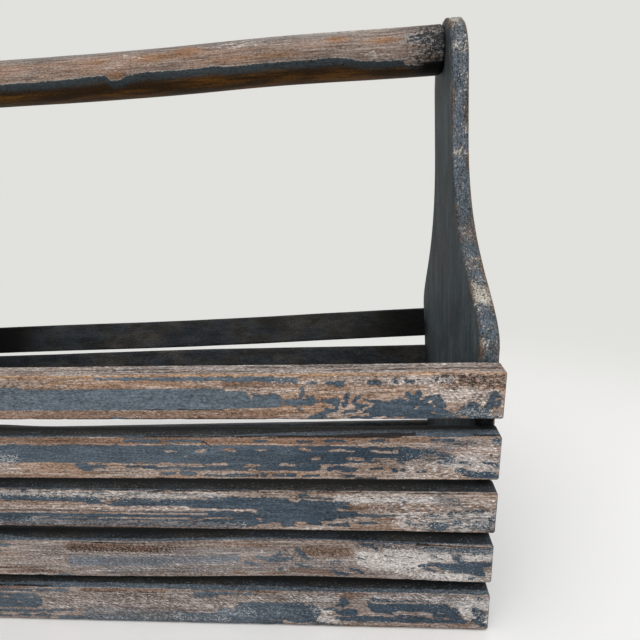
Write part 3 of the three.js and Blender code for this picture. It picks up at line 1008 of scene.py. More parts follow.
            (18, 7.8, 60, 7.9, 0.7), (69, 8.5, 87, 8.5, 0.6), (102, 8, 104, 8, 0.7),
            (125, 5, 132, 4, 1.8), (120, 2.5, 140, 2.3, 0.9), (119, 25.5, 125, 25, 2.2),
            (95, 26, 118, 25.5, 1.8), (80, 24.5, 84, 24.5, 1), (60, 25, 66, 23, 1.2),
            (140, 7, 160, 8.5, 0.6), (8, 20.5, 12, 19, 1.2),
        ],
        "pale": [
            (-60, 25, 80, 24.5, 3, 0.78), (0, 21, 60, 22, 2, 0.6), (150, 23, 205, 22.5, 3, 0.85),
            (190, 9, 240, 10, 8, 0.68), (215, 22, 240, 22, 1.2, 0.75), (120, 2.3, 145, 2.5, 0.8, 0.75),
            (95, 22.6, 116, 22.5, 0.5, 0.75), (140, 7, 160, 8.5, 0.5, 0.7), (222, 5, 236, 7, 4, 0.92),
            (170, 16, 240, 20, 5, 0.55), (-60, 15.4, 60, 15.2, 1.4, 0.72), (60, 15, 100, 14.4, 1, 0.72),
            (222, 12.8, 233, 12.8, 1.4, 0.95), (192, 4, 202, 4, 2, 0.85),
        ],
        "rust": [
            (-60, 1.6, 40, 1.6, 1), (155, 16.5, 186, 16.5, 1.6, 0.8), (170, 9.5, 205, 9.8, 0.7, 0.7),
            (160, 3.5, 195, 3, 1.5, 0.5), (215, 17.5, 225, 17.5, 0.8, 0.6),
        ],
        "grime": [(190, 10, 238, 12, 8, 0.25)],
        "crack": [(-60, 27.8, 60, 27.8, 0.3, 0.5), (60, 27.7, 240, 27.5, 0.3, 0.5)],
        "haze": [
            (185, 14, 240, 10, 8, 0.2), (120, 24, 200, 24, 2, 0.3), (-60, 3.8, 95, 3.8, 2.2, 0.9),
            (206, 24, 216, 22, 3.5, 0.6), (-60, 24.5, 80, 24.5, 2, 0.4),
        ],
        "sawn": [(190, 14, 240, 14, 10, 0.25)],
        "calm": [(-60, 12, 72, 12, 5)],
        "streak": 0.65,
        "grey": 0.4,
        "deep": (0.8, 0.85),
        "wear": -0.4,
        "shade": (1.6, 0.8),
    },
    {
        "blue": [
            (0, 13.3, 35, 13.4, 2, 0.44), (44, 15, 78, 15.5, 1.5, 0.42), (0, 5, 30, 4.6, 2.4, 0.4),
            (99, 15.5, 108, 13.4, 1.3, 0.85), (110, 15.3, 113, 18.3, 1.6),
            (108, 12.8, 116, 14.2, 1.2, 0.8), (92, 11.7, 98, 9.5, 1.2, 0.7),
            (112, 5.2, 114, 7.2, 1.2, 0.6), (124, 21.2, 130, 14.8, 1.5, 0.9),
            (128, 19.2, 128.5, 16.2, 1.4), (118, 14.2, 120, 14.2, 1.2, 0.7),
            (123, 9.7, 130, 8.3, 0.8, 0.7), (145, 6.4, 148, 4.4, 1.1, 0.9),
            (147, 3.5, 153, 3.6, 1.1, 0.85), (156, 7.6, 160, 6.7, 1.2), (160, 6.7, 163, 4.9, 1.1),
            (160, 16, 164, 15.6, 0.9), (146, 11.4, 150, 13.4, 1.5, 0.5), (170, 24, 171, 22.6, 0.7, 0.8),
            (197, 11.4, 204, 13.1, 1), (203, 13.6, 209, 14.5, 0.9), (200, 10.5, 206, 8.1, 1),
            (206, 12.6, 215, 12.3, 1.4), (212, 11.8, 232, 11.6, 2.7), (216, 9.4, 228, 8.5, 1.5),
            (217, 19.3, 221, 15.5, 1.6), (219, 17.3, 221, 20.4, 0.9), (222, 16.5, 226, 15.5, 1),
            (229, 13.6, 237, 14.2, 2.2), (230, 7.6, 234, 6.7, 1.6), (226.5, 3.6, 229, 3.9, 1.1),
            (205, 20.6, 206, 18.6, 0.6), (200, 24.5, 238, 24.6, 1.6, 0.6),
            (228, 22.5, 238, 23.6, 1.4, 0.75), (160, 25.8, 195, 26.5, 1.2, 0.5),
        ],
        "bare": [],
        "pale": [
            (165, 15, 195, 13.7, 7, 0.8), (178, 21, 215, 19.3, 4, 0.86), (160, 21, 185, 22.5, 3, 0.58),
            (200, 5, 228, 4.5, 3.5, 0.88), (222, 19.4, 238, 20.7, 3, 0.95), (236, 8, 238, 4, 2, 0.75),
            (0, 7, 30, 8, 1.5, 0.62), (40, 10.2, 85, 12, 3, 0.48), (50, 6, 80, 4.3, 3, 0.48),
            (185, 6.6, 200, 5, 2, 0.85), (100, 21.5, 105, 17.4, 3, 0.45), (118, 17.2, 160, 9.7, 5, 0.36),
        ],
        "rust": [
            (-20, 24, 35, 23, 2.6), (35, 22.4, 60, 22.8, 1.8, 0.5), (80, 26, 105, 24.4, 1.5, 0.55),
            (130, 20.2, 155, 19.6, 3.5, 0.58), (120, 6.2, 143, 3.9, 2, 0.7), (83, 4, 90, 2.8, 1, 0.8),
            (70, 23.3, 88, 22.8, 1, 0.5), (33, 5.9, 36, 4.8, 0.8, 0.8), (150, 14.5, 140, 15.3, 3, 0.42),
            (100, 3, 115, 3.2, 1, 0.6),
        ],
        "grime": [(-20, 23, 45, 22.5, 3.5, 0.66), (119, 20, 152, 20, 5, 0.5)],
        "crack": [(-20, 27.4, 30, 27.2, 0.4, 0.5), (195, 27.6, 238, 27, 0.4, 0.52)],
        "haze": [
            (-20, 13, 40, 13, 4.5, 0.85), (40, 14, 85, 14.5, 4, 0.75), (0, 6, 60, 7, 3, 0.5),
            (60, 9, 150, 10, 5, 0.42), (100, 19, 118, 19, 4, 0.4), (50, 21, 92, 21, 3, 0.5),
            (196, 24, 238, 24, 3, 0.5), (205, 12, 236, 13, 4, 0.22), (0, 5, 80, 6, 2.5, 0.55),
        ],
        "sawn": [(-30, 16, 120, 16, 12, 0.4), (120, 20, 160, 20, 8, 0.35)],
        "streak": 0.2,
        "grey": 0.7,
        "deep": (0.25, 0.9),
        "wear": -0.3,
        "shade": (3.6, 1.6),
    },
    {
        "blue": [
            (-40, 1.8, 110, 1.6, 1.2), (-40, 3.3, 60, 3, 0.9, 0.75), (0, 6.8, 40, 7, 1.8, 0.52),
            (42, 6.5, 70, 7, 2.3, 0.75), (60, 5.5, 75, 5, 1.5), (72, 9.5, 88, 9, 4, 0.82),
            (74, 8, 90, 7, 3), (88, 12, 118, 12, 7), (94, 17, 118, 18, 1.8), (62, 4, 110, 3.5, 1.2),
            (56, 24.5, 68, 25, 2.2, 0.62), (68, 26, 95, 26, 0.9, 0.55), (112, 12, 130, 12, 5.7),
            (116, 5, 130, 5, 1.8), (170, 15, 181, 14.3, 2.4), (115, 18, 122, 18, 1.4, 0.8),
            (124, 16.5, 131, 15, 1.5, 0.85), (126, 7, 132, 6.5, 1.2), (131, 10, 133, 9, 1.6, 0.6),
            (139, 14.5, 144, 15, 1.2, 0.7), (147, 17, 152, 21, 2.3), (149, 22, 151, 24, 1.2),
            (146, 13, 150, 11, 1.5), (150, 12, 158, 12, 2.5), (155, 14, 159, 13, 1.5),
            (146, 7, 225, 6.6, 1.5), (158, 9, 180, 8.5, 1, 0.85), (166, 21, 171, 16, 1.3),
            (168, 18, 180, 17, 2.5), (178, 17.5, 212, 17.5, 3), (212, 17, 219, 14, 3),
            (218, 12, 223, 8, 2.2), (176, 14, 182, 12.5, 1.6), (186, 10.5, 200, 9.7, 0.7),
            (182, 10, 186, 9.5, 0.8), (190, 8.5, 220, 8.5, 0.8, 0.8), (208, 11, 220, 10.5, 2.2),
            (205, 14, 218, 12.5, 1, 0.9), (169, 23.5, 171.5, 23, 0.9), (174, 23, 179, 22.6, 0.8),
            (182, 22.6, 187, 22.5, 0.7), (189, 22.3, 193, 22, 0.6), (196, 22.7, 204, 22.4, 0.6),
            (231, 17, 236, 14, 2), (232, 13, 236, 9, 1.7), (232, 8, 236, 5, 2),
            (232, 26, 236, 25, 0.8, 0.6), (120, 3.3, 142, 3.3, 0.5), (130, 1.8, 147, 1, 0.8),
        ],
        "bare": [
            (161, 14, 168, 11.5, 2.2), (160, 11, 171, 10.5, 0.9), (153, 18.5, 160, 17, 1),
            (146.5, 16.5, 150, 15.8, 0.8), (182, 12.6, 188, 12, 0.9), (192, 13, 198, 12.5, 1.2),
            (199, 11.5, 202, 11.5, 0.9), (209, 13.3, 213, 13.3, 0.5), (204, 9.3, 217, 9, 0.4),
        ],
        "pale": [
            (-30, 16, 85, 16, 5, 0.46), (38, 6, 44, 8, 1.2, 0.75), (20, 4.5, 36, 4.5, 0.7, 0.75),
            (60, 20, 90, 17, 2.5, 0.48), (42, 24, 52, 22, 3, 0.48), (74, 10, 90, 12, 4, 0.52),
            (133, 14, 141, 13, 4, 0.7), (133, 6, 145, 6, 3, 0.85), (118, 22, 145, 24, 3, 0.68),
            (205, 24, 222, 23.5, 3, 0.66), (222, 22, 240, 21, 4, 0.9), (221, 18, 226, 12, 2, 0.72),
            (224, 16, 240, 8, 4, 0.88), (172, 25, 215, 24.5, 2, 0.75), (90, 1, 105, 0.6, 0.8, 0.6),
        ],
        "rust": [
            (-20, 26.7, 36, 26.5, 1.1, 0.95), (30, 23, 34, 21, 1.2, 0.5), (0, 12.5, 45, 12.3, 0.5, 0.75),
            (60, 28, 110, 27.5, 0.6, 0.7), (148, 26, 165, 27.5, 1.5, 0.7), (152, 22, 158, 26, 1.3, 0.5),
            (148, 1.5, 180, 1, 1, 0.55), (195, 3.5, 235, 4, 1.5, 0.5),
        ],
        "grime": [
            (0, 0.5, 240, 1, 1, 0.4), (222, 14, 240, 14, 10, 0.3), (0, 22, 40, 21.5, 4, 0.52),
            (-20, 26.6, 38, 26.3, 1.4, 0.62),
        ],
        "crack": [
            (-20, 25.6, 36, 25.5, 0.3, 0.5), (55, 27.6, 120, 27.5, 0.3, 0.46),
            (170, 28, 235, 28.2, 0.3, 0.46),
        ],
        "haze": [
            (-20, 10, 70, 8, 5, 0.5), (-20, 5, 75, 4, 3, 0.8), (118, 20, 145, 22, 4, 0.35),
            (165, 24, 240, 23, 4, 0.4), (168, 17.5, 216, 17.5, 3, 0.26), (76, 10, 130, 12, 6, 0.36),
            (146, 7, 222, 7, 2, 0.24),
        ],
        "sawn": [
            (-40, 16, 110, 17, 9, 0.8), (95, 24, 135, 23, 4), (165, 26, 225, 25, 3),
            (150, 24, 162, 25, 4, 0.7),
        ],
        "streak": 0.2,
        "grey": 0.72,
        "deep": (0.45, 1.1),
        "wear": 0,
        "shade": (5.2, 4.6),
    },
]


def mirrorStrokes(strokes):
    # the strokes of a slat's right half, turned end for end
    return [(-x0, v0, -x1, v1, *rest) for x0, v0, x1, v1, *rest in strokes if min(x0, x1) > 20]


def mixedStrokes(rightSlat, leftSlat):
    # a slat painted as one on its right half and as another on its left
    count = len(paintStrokes)
    right, left = paintStrokes[rightSlat % count], paintStrokes[leftSlat % count]
    kinds = ("blue", "bare", "pale", "rust", "grime", "crack", "haze", "sawn")
    mixed = {kind: right[kind] + mirrorStrokes(left[kind]) for kind in kinds}
    return {**mixed, "calm": right.get("calm", []), "right": right, "left": left}


strokeEdge = {"slope": 1.5, "bias": 0.1, "thin": 7}      # how firmly a stroke is laid on


def insideStroke(x, up, stroke):
    # millimetres inside a stroke, negative outside it
    x0, v0, x1, v1, radius = stroke[:5]
    runX, runV = x1 - x0, v1 - v0
    length = max(runX * runX + runV * runV, 1e-9)
    share = np.clip(((x - x0) * runX + (up - v0) * runV) / length, 0, 1)
    return radius - np.hypot(x - x0 - share * runX, up - v0 - share * runV)


def strokeLevel(x, up, strokes, start):
    # level for a coat that chips: a weak stroke stays thin, so it breaks into islands
    level = np.full(len(x), float(start))
    for stroke in strokes:
        inside = insideStroke(x, up, stroke) * strokeEdge["slope"] + strokeEdge["bias"]
        if len(stroke) > 5:
            inside = np.minimum(inside, (stroke[5] - 0.5) * strokeEdge["thin"])
        level = np.maximum(level, inside)
    return level


def strokeAmount(x, up, strokes, start, soft):
    # amount of flecks: a soft edge around each stroke
    amount = np.full(len(x), float(start))
    for stroke in strokes:
        target = stroke[5] if len(stroke) > 5 else 1.0
        share = smooth(insideStroke(x, up, stroke), -soft, soft)
        amount = np.maximum(amount, start + (target - start) * share)
    return amount


slatShape = {
    "Arris": 1.6 * mm,
    "Chips": 1.0 * mm,
    "Wave": 0.7 * mm,
}
slatCells = {      # points along, up and deep
    "front": (420, 46, 14),
    "back": (200, 22, 12),
    "bottom": (200, 22, 12),
}
slatBows = {      # centre, width and rise along the slat
    "front_slat_4": (125 * mm, 75 * mm, 2.8 * mm),
    "back_slat_1": (0, 150 * mm, -1.8 * mm),
    "back_slat_2": (0, 150 * mm, 1.6 * mm),
    "back_slat_4": (240 * mm, 45 * mm, 3.4 * mm),
}
noBow = (0, 100 * mm, 0)
slatTree = makeSlatTree()

slatPaint = {      # lengths in millimetres
    "bands": {                   # distances from an edge over which one side's paint gives way to another's
        "front": (0.8, 2.0),
        "top": (0.2, 1.2),
        "under": (0.2, 1.2),
        "inner": (0.3, 1.2),
        "ends": (0.2, 0.8),
    },
    "halves": (-120, -40),       # where the left half's paint gives way to the right half's
    "outward": (70, 180),        # where the middle's values give way to those towards the ends
    "start": {                   # levels and amounts away from all strokes
        "blue": -4.5, "rust": -3.5, "crack": -3, "wear": -4.5,
        "pale": 0.24, "grime": 0.16, "haze": 0, "sawn": 0, "calm": 0,
    },
    "soft": {"pale": 4.5, "grime": 2.5, "haze": 4, "sawn": 4, "calm": 2},
    "drift": (1.6, 0.8),         # how far strokes wander along and up
    "driftGrain": (0.2, 0.3),    # how quickly they do so
    "calmed": 0.75,              # how much less they wander in a calm stroke
    "ragged": (9, 5.5),          # raggedness of the coat, and how much a calm stroke takes off it
    "run": 0.4,                  # height that the top seems to add for each step behind the front
    "runFrom": 1.6,              # below the top
    "wearSlope": 1.3,
    "endBlue": 0.5,
    "lowerGrimeAndShade": 0.85,          # dark flecks along the lower arris: grime and a painted shadow line
    "sides": {"streak": 0.8, "grey": 0.6, "deep": 0.3},
    "limit": 4,                  # level of full dark paint
    "topDark": 0.8,              # how quickly the top (painted shade) and the underside turn dark towards the back
    "underDark": 1.5,
    "joint": (150, 205),         # painted shade towards the end boards
    "gap": (5, 11),              # painted shadow this far behind the front
    "dust": (1.5, 3),            # pale motes this far behind the front
    "patternStep": (0.61, 0.23, 0.17),      # metres between the patterns of two slats
}
paleTop = {"blue": -4, "pale": 0.45, "rust": -3, "grime": 0.36}
darkTop = {"blue": 2, "pale": 0.56, "rust": -2, "grime": 0.3}
underSide = {"blue": 0.5, "pale": 0.1, "rust": 0, "grime": 0.45}


def paintSlat(mesh, shape, strokes, look, seed):
    # write the fields that the finish reads: levels in millimetres, amounts from 0 to 1
    place = readVectors(mesh, "place")
    arris = readNumbers(mesh, "arris")
    length, height, thickness = (shape[key] / mm for key in ("Length", "Height", "Thickness"))
    x = place[:, 0] / mm
    up = (place[:, 1] + shape["Height"] / 2) / mm
    behind = thickness / 2 - place[:, 2] / mm          # how far behind the front face
    limit = look["limit"]

    def near(edge, distance):
        return 1 - smooth(distance, *look["bands"][edge])

    def level(kind, atX, atUp):
        return strokeLevel(atX, atUp, strokes[kind], look["start"][kind])

    def amount(kind, atX, atUp):
        return strokeAmount(atX, atUp, strokes[kind], look["start"][kind], look["soft"][kind])

    def blend(right, left):
        return left + (right - left) * smooth(x, *look["halves"])

    def sided(key):
        return blend(strokes["right"][key], strokes["left"][key])

    def graded(key):
        # from the value near the middle of the slat to the one towards its end
        right, left = strokes["right"][key], strokes["left"][key]
        inward, outward = (blend(right[k], left[k]) for k in (0, 1))
        return inward + (outward - inward) * smooth(np.abs(x), *look["outward"])

    def darkened(distance, slope):
        return np.clip(distance * slope, -limit, limit)

    front = near("front", behind)
    top = near("top", height - up) * (1 - front)
    under = near("under", up) * (1 - front)
    inner = near("inner", thickness - behind) * (1 - top) * (1 - under)
    ends = near("ends", length / 2 - np.abs(x))
    calm = amount("calm", x, up)
    grainX, grainUp = look["driftGrain"]
    spots = ((a * grainX, b * grainUp, seed * 7.3) for a, b in zip(x, up))
    drift = np.array([solidNoise.turbulence_vector(spot, 3, False) for spot in spots])
    drift = drift * (1 - look["calmed"] * calm)[:, None]
    driftX = x + drift[:, 0] * look["drift"][0]
    driftUp = up + drift[:, 1] * look["drift"][1]
    blue = level("blue", driftX, driftUp)
    for stroke in strokes["bare"]:
        blue = np.minimum(blue, -insideStroke(driftX, driftUp, stroke) * strokeEdge["slope"])
    fields = {
        "blue": blue,
        "pale": amount("pale", driftX, driftUp),
        "rust": level("rust", x, up),
        "grime": amount("grime", x, up),
    }
    rest = (1 - front - top).clip(0)
    for key, values in fields.items():
        fields[key] = values * front + look["top"][key] * top + look["under"][key] * rest
    fields["blue"] = fields["blue"] * (1 - ends) + look["endBlue"] * ends
    # dark flecks along the lower arris, grime and a painted shadow line under it
    lower = arris * (up < height / 2) * (behind < thickness / 2)
    fields["grime"] = np.maximum(fields["grime"], look["lowerGrimeAndShade"] * lower)
    upperLine = np.where(up > height / 2, np.maximum(height - up, behind), height)
    fields["wear"] = np.maximum(look["start"]["wear"], sided("wear") - upperLine * look["wearSlope"])
    # cracks run on over the top
    seen = up + behind.clip(0) * look["run"] * (up > height - look["runFrom"])
    fields["crack"] = level("crack", x, seen) * (1 - inner) + look["start"]["crack"] * inner
    fields["ragged"] = look["ragged"][0] - look["ragged"][1] * calm
    # dark paint on the inner face, painted shade towards the back of the top, and darker towards the back
    # of the underside
    shaded = darkened(behind - graded("shade") + look["shaded"], look["topDark"]) * top
    shaded = shaded + darkened(behind - look["dust"][0], look["underDark"]) * under + limit * inner
    fields["inside"] = shaded - limit * (1 - top - under - inner).clip(0)
    # painted shade on the inner faces near the end boards, and painted shadow at the back of the tops in
    # the gaps
    atJoint = smooth(np.abs(x), *look["joint"]) * inner
    inGap = smooth(behind, *look["gap"]) * top
    fields["paintedShade"] = look["paintedShade"] * atJoint + look["gapShadow"] * inGap
    fields["motes"] = look["motes"] * top * smooth(behind, *look["dust"])
    fields["streak"] = sided("streak") * front + look["sides"]["streak"] * (1 - front)
    fields["deep"] = graded("deep") * front + look["sides"]["deep"] * (1 - front)
    fields["grey"] = np.maximum(sided("grey"), look["sides"]["grey"] * top * (behind > look["dust"][0]))
    fields["haze"] = amount("haze", driftX, driftUp) * front
    fields["sawn"] = amount("sawn", x, up) * front
    for key, values in fields.items():
        writeNumbers(mesh, key, values)
    writeVectors(mesh, "place", place + np.array(look["patternStep"]) * seed)


def slatStrokes(name, index):
    if name.startswith("front"):
        strokes = mixedStrokes(index, index + 2)
    else:
        strokes = mixedStrokes(index + 1, index + 3)
    if name == "front_slat_1":      # its upper side is pale on the left half too
        strokes["left"] = {**strokes["left"], "shade": strokes["right"]["shade"]}
    return strokes


def slatLook(name):
    isFront = name.startswith("front")
    isTopmost = name == "front_slat_1"
    hasGap = isFront and not isTopmost
    return {
        **slatPaint,
        "top": paleTop if isTopmost else darkTop,
        "under": underSide,
        "shaded": 0 if isFront else 14,      # how much further forward the top is dark
        # painted shade near the end boards, nearly black at the ends of the top back slat
        "paintedShade": 0.96 if name == "back_slat_1" else 0.3,
        "gapShadow": 0.93 if hasGap else 0,    # painted shadow deep in the gap under the slat above
        "motes": 0.36 if hasGap else 0,      # pale dust on the top
    }


def makeSlat(name, wall, index, seed):
    shape = plankFrame(name)
    values = {
        **{key: shape[key] for key in ("Length", "Height", "Thickness")},
        **slatShape,
        **dict(zip(("Bow Centre", "Bow Width", "Bow Rise"), slatBows.get(name, noBow))),
        **dict(zip(("Cells Along", "Cells Up", "Cells Deep"), slatCells[wall])),
        "Seed": float(seed),
        "Material": wornSlat,
    }
    slat = runTree(slatTree, name + "_worn", values)
    paintSlat(slat.data, shape, slatStrokes(name, index), slatLook(name), seed)
    slat.data.transform(shape["place"])
    if wall == "bottom":
        rested = readVectors(slat.data)
        rested[:, 2] = rested[:, 2].clip(0)      # nothing below the table
        slat.data.vertices.foreach_set("co", rested.ravel())
    settle(slat, "worn_paint", name)


slatCount = 0
for wall in ("front", "back", "bottom"):
    names = sorted(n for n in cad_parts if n.startswith(wall + "_slat_") and "nail" not in n)
    for index, name in enumerate(names):
        slatCount += 1
        makeSlat(name, wall, index, slatCount)
print("slats made:", slatCount)


# End boards: the frame's outline with rounded, worn arrises

boardShape = {
    "shoulderPull": 28 * mm,
    "neckPull": 80 * mm,
    "crownSquareness": 0.53,
    "arris": 1.7 * mm,
    "arrisSteps": 4,
    "edgeSteps": 7,
    "insets": (0.8 * mm, 2 * mm),            # rows of points inside the arris
    "columns": 14,
    "step": 2.2 * mm,
    "wander": 0.45 * mm,
    "nicks": 1.6 * mm,
    "wornBand": (-0.2, 0.5),                 # half-width of the brown band along the inner and outer arris
    "patchy": 2.2,                           # how much that band comes and goes, in millimetres
    "noWear": -5,                            # its level on the faces
    "palePatches": (                         # height, reach and amount of rubbed paint on the edge
        (388, 13, 0.8), (366, 11, 0.62), (340, 24, 0.46), (313, 9, 0.54), (299, 6, 0.55),
        (247, 9, 0.44), (229, 9, 0.5), (211, 11, 0.9), (187, 5, 0.6),
    ),
    "barePatches": (                         # the same for bare brown wood
        (384, 14, 0.6), (299, 6, 0.66), (247, 10, 0.8), (228, 8, 0.7), (211, 12, 0.62), (184, 5, 0.6),
    ),
    "jointShade": (172, 164, 0.88, 34),       # painted shade between the side slats: from and to a height, strength, reach
    "chip": (183, 6, 2.6),                   # a bare spot on the inner arris: height, reach, depth
    "rubbed": (295, 340, 0.65, 7),           # faces near the crown: from and to a height, strength, reach
    "bareEdge": 0.42,                        # rubbed wood and paint all along the edge
    "paleEdge": 0.3,
    "lowFace": (180, 310),                   # heights between which the painted light on the lower faces fades, so the faces turn darker upward
    "grain": (160, 90, 45),                  # patterns per metre: wander, nicks, worn bands
}


def bezier(a, b, c, d, count):
    share = np.linspace(0, 1, count)[:, None]
    a, b, c, d = (np.array(point, float) for point in (a, b, c, d))
    rest = 1 - share
    return rest**3 * a + 3 * rest**2 * share * b + 3 * rest * share**2 * c + share**3 * d


def boardOutline(points, part):
    # right-hand half of the outline as (half-width, height), from the foot up to the crest
    half, height = np.abs(points[:, 1]), points[:, 2]
    foot, crest = height.min(), height.max()
    shoulder = points[half.argmax()]
    shoulderHalf, shoulderZ = half.max(), shoulder[2]
    footHalf = half[height < foot + 0.1 * mm].max()
    upper = height > (shoulderZ + crest) / 2
    neck = half[upper & (height > crest - 0.07)].max()
    straight = height[upper & (np.abs(half - neck) < 0.05 * mm)]
    neckZ, crownZ = straight.min(), straight.max()
    corner = (crest - crownZ) * part["crownSquareness"]
    reach = neck * part["crownSquareness"]

    def line(a, b):
        count = max(3, int(math.hypot(b[0] - a[0], b[1] - a[1]) / part["step"]))
        return np.linspace(a, b, count)

    flare = bezier((shoulderHalf, shoulderZ), (shoulderHalf, shoulderZ + part["shoulderPull"]),
                   (neck, neckZ - part["neckPull"]), (neck, neckZ), 70)
    crown = bezier((neck, crownZ), (neck, crownZ + corner), (reach, crest), (0, crest), 34)
    side = line((footHalf, foot), (shoulderHalf, shoulderZ))
    throat = line((neck, neckZ), (neck, crownZ))
    return np.concatenate([side[:-1], flare[:-1], throat[:-1], crown])


def outwardNormals(outline):
    # of a closed outline, with a mitre at its corners
    def edgeNormal(a, b):
        run = b - a
        run = run / np.linalg.norm(run, axis=1)[:, None]
        return np.stack([run[:, 1], -run[:, 0]], 1)

    first = edgeNormal(np.roll(outline, 1, 0), outline)
    second = edgeNormal(outline, np.roll(outline, -1, 0))
    return (first + second) / (1 + (first * second).sum(1))[:, None]


def boardLoops(part, depthHalf):
    # inset and depth of each loop of points, from one face round the edge to the other
    arris = part["arris"]
    turns = np.linspace(0, math.pi / 2, part["arrisSteps"] + 1)
    rounding = [(arris * (1 - math.sin(t)), depthHalf - arris * (1 - math.cos(t))) for t in turns]
    depths = np.linspace(depthHalf - arris, -depthHalf + arris, part["edgeSteps"] + 2)[1:-1]
    onFace = [(arris + inset, depthHalf) for inset in reversed(part["insets"])]
    upper = onFace + rounding
    return upper + [(0, depth) for depth in depths] + [(inset, -depth) for inset, depth in reversed(upper)]


def makeEndBoard(name, part):
    low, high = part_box(name)
    half = boardOutline(readVectors(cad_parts[name].data), part)
    columns = part["columns"]
    rows = len(half) - 1                       # paired rows below the crest
    left = half[-2::-1] * np.array([-1, 1])
    floorRun = np.linspace(left[-1], half[0], columns + 1)[1:-1]
    outline = np.concatenate([half, left, floorRun])
    count = len(outline)
    normal = outwardNormals(outline)
    arris = part["arris"]
    depthHalf = (high.x - low.x) / 2
    middle = (low.x + high.x) / 2
    loops = boardLoops(part, depthHalf)
    vertices, edge, wear, shadowed = [], [], [], []
    chipHeight, chipReach, chipDepth = part["chip"]
    innerBand, outerBand = part["wornBand"]
    wanderGrain, nickGrain, bandGrain = part["grain"]

    def fading(inside, reach):
        return math.exp(-max(0, inside) / mm / reach)

    def rubbedShare(z, inside):
        # how far a face is worn, from its height and the distance inside the arris
        start, end, most, reach = part["rubbed"]
        return most * float(smooth(z / mm, start, end)) * fading(inside, reach)

    def shadeShare(z, inside):
        # how black a place between the side slats is painted, as painted shade
        start, end, most, reach = part["jointShade"]
        return most * float(1 - smooth(z / mm, end, start)) * fading(inside, reach)

    for inset, depth in loops:
        ring = outline - normal * inset
        onEdge = 1 - min(1, inset / arris)
        fromArris = (max(inset, depthHalf - abs(depth)) - 0.5 * arris) / mm
        atArris = max(0, 1 - max(0, fromArris))
        for (y, z), (ny, nz) in zip(ring, normal):
            spot = Vector((middle + depth, y, z))
            rough = solidNoise.fractal(spot * wanderGrain, 1.0, 2.0, 4) * part["wander"] * onEdge
            nick = solidNoise.fractal(spot * nickGrain + Vector((7, 3, 1)), 1.0, 2.0, 4)
            push = rough - max(0, nick - 0.25) * atArris * part["nicks"]
            vertices.append((spot.x, y + ny * push, z + nz * push))
            edge.append(max(onEdge, rubbedShare(z, inset - arris)))
            isOuter = depth * middle > 0
            chip = chipDepth * math.exp(-((z / mm - chipHeight) / chipReach) ** 2)
            bare = outerBand if isOuter else innerBand + chip
            patchy = solidNoise.fractal(Vector((z * bandGrain, y * bandGrain, 9 * isOuter)), 1.0, 2.0, 3)
            wear.append(bare + part["patchy"] * patchy - fromArris)
            shadowed.append(0 if isOuter and inset > 0 else shadeShare(z, inset - arris))
    faces = []
    for k in range(len(loops) - 1):
        for i in range(count):
            j = (i + 1) % count
            faces.append((k * count + i, (k + 1) * count + i, (k + 1) * count + j, k * count + j))
    # each face is filled row by row between the two sides of its innermost loop
    for k, flip in ((0, False), (len(loops) - 1, True)):
        base = k * count
        previous = [base + 2 * rows + 1 + i for i in range(columns - 1)]
        previous = [base + 2 * rows] + previous + [base]
        for row in range(1, rows):
            a, b = np.array(vertices[base + 2 * rows - row]), np.array(vertices[base + row])
            current = [base + 2 * rows - row]
            for c in range(1, columns):
                vertices.append(tuple(a + (b - a) * c / columns))
                inside = np.linalg.norm(b - a) * min(c, columns - c) / columns
                edge.append(rubbedShare(a[2], inside))
                wear.append(part["noWear"])
                shadowed.append(0 if vertices[base][0] * middle > middle ** 2 else shadeShare(a[2], inside))
                current.append(len(vertices) - 1)
            current.append(base + row)
            for c in range(columns):
                quad = (previous[c], previous[c + 1], current[c + 1], current[c])
                faces.append(quad[::-1] if flip else quad)
            previous = current
        crest = base + rows
        for c in range(columns):
            tri = (previous[c], previous[c + 1], crest)
            faces.append(tri[::-1] if flip else tri)
    mesh = bpy.data.meshes.new(name + "_worn")
    mesh.from_pydata(vertices, [], faces)
    mesh.validate()
    mesh.materials.append(boardPaint)
    mesh.shade_smooth()
    height = readVectors(mesh)[:, 2] / mm

    def patched(start, patches):
        amount = np.full(len(height), start)
        for patchHeight, reach, most in patches:
            amount = np.maximum(amount, most * np.exp(-((height - patchHeight) / reach) ** 2))
        return amount

    writeNumbers(mesh, "edge", edge)
    # painted shade between the side slats
    writeNumbers(mesh, "paintedShade", shadowed)
    writeNumbers(mesh, "rust", patched(part["bareEdge"], part["barePatches"]))
    writeNumbers(mesh, "wear", np.clip(wear, part["noWear"], -part["noWear"]))
    writeNumbers(mesh, "pale", patched(part["paleEdge"], part["palePatches"]))
    writeNumbers(mesh, "low", 1 - smooth(height, *part["lowFace"]))
    board = bpy.data.objects.new(name + "_worn", mesh)
    scene.collection.objects.link(board)
    settle(board, "charcoal_paint", name)


for boardName in ("end_board_left", "end_board_right"):
    makeEndBoard(boardName, boardShape)
print("end boards made")


# Handle: a turned rod, slightly uneven, sagging a little in the middle

handleShape = {
    "Arris": 2.0 * mm,
    "Uneven": 0.5 * mm,
    "Sag": 2.0 * mm,
    "Bow Centre": 115 * mm,
    "Bow Width": 80 * mm,
    "Bow Rise": 1.9 * mm,
    "Cells Round": 72,
    "Cells Along": 240,
}


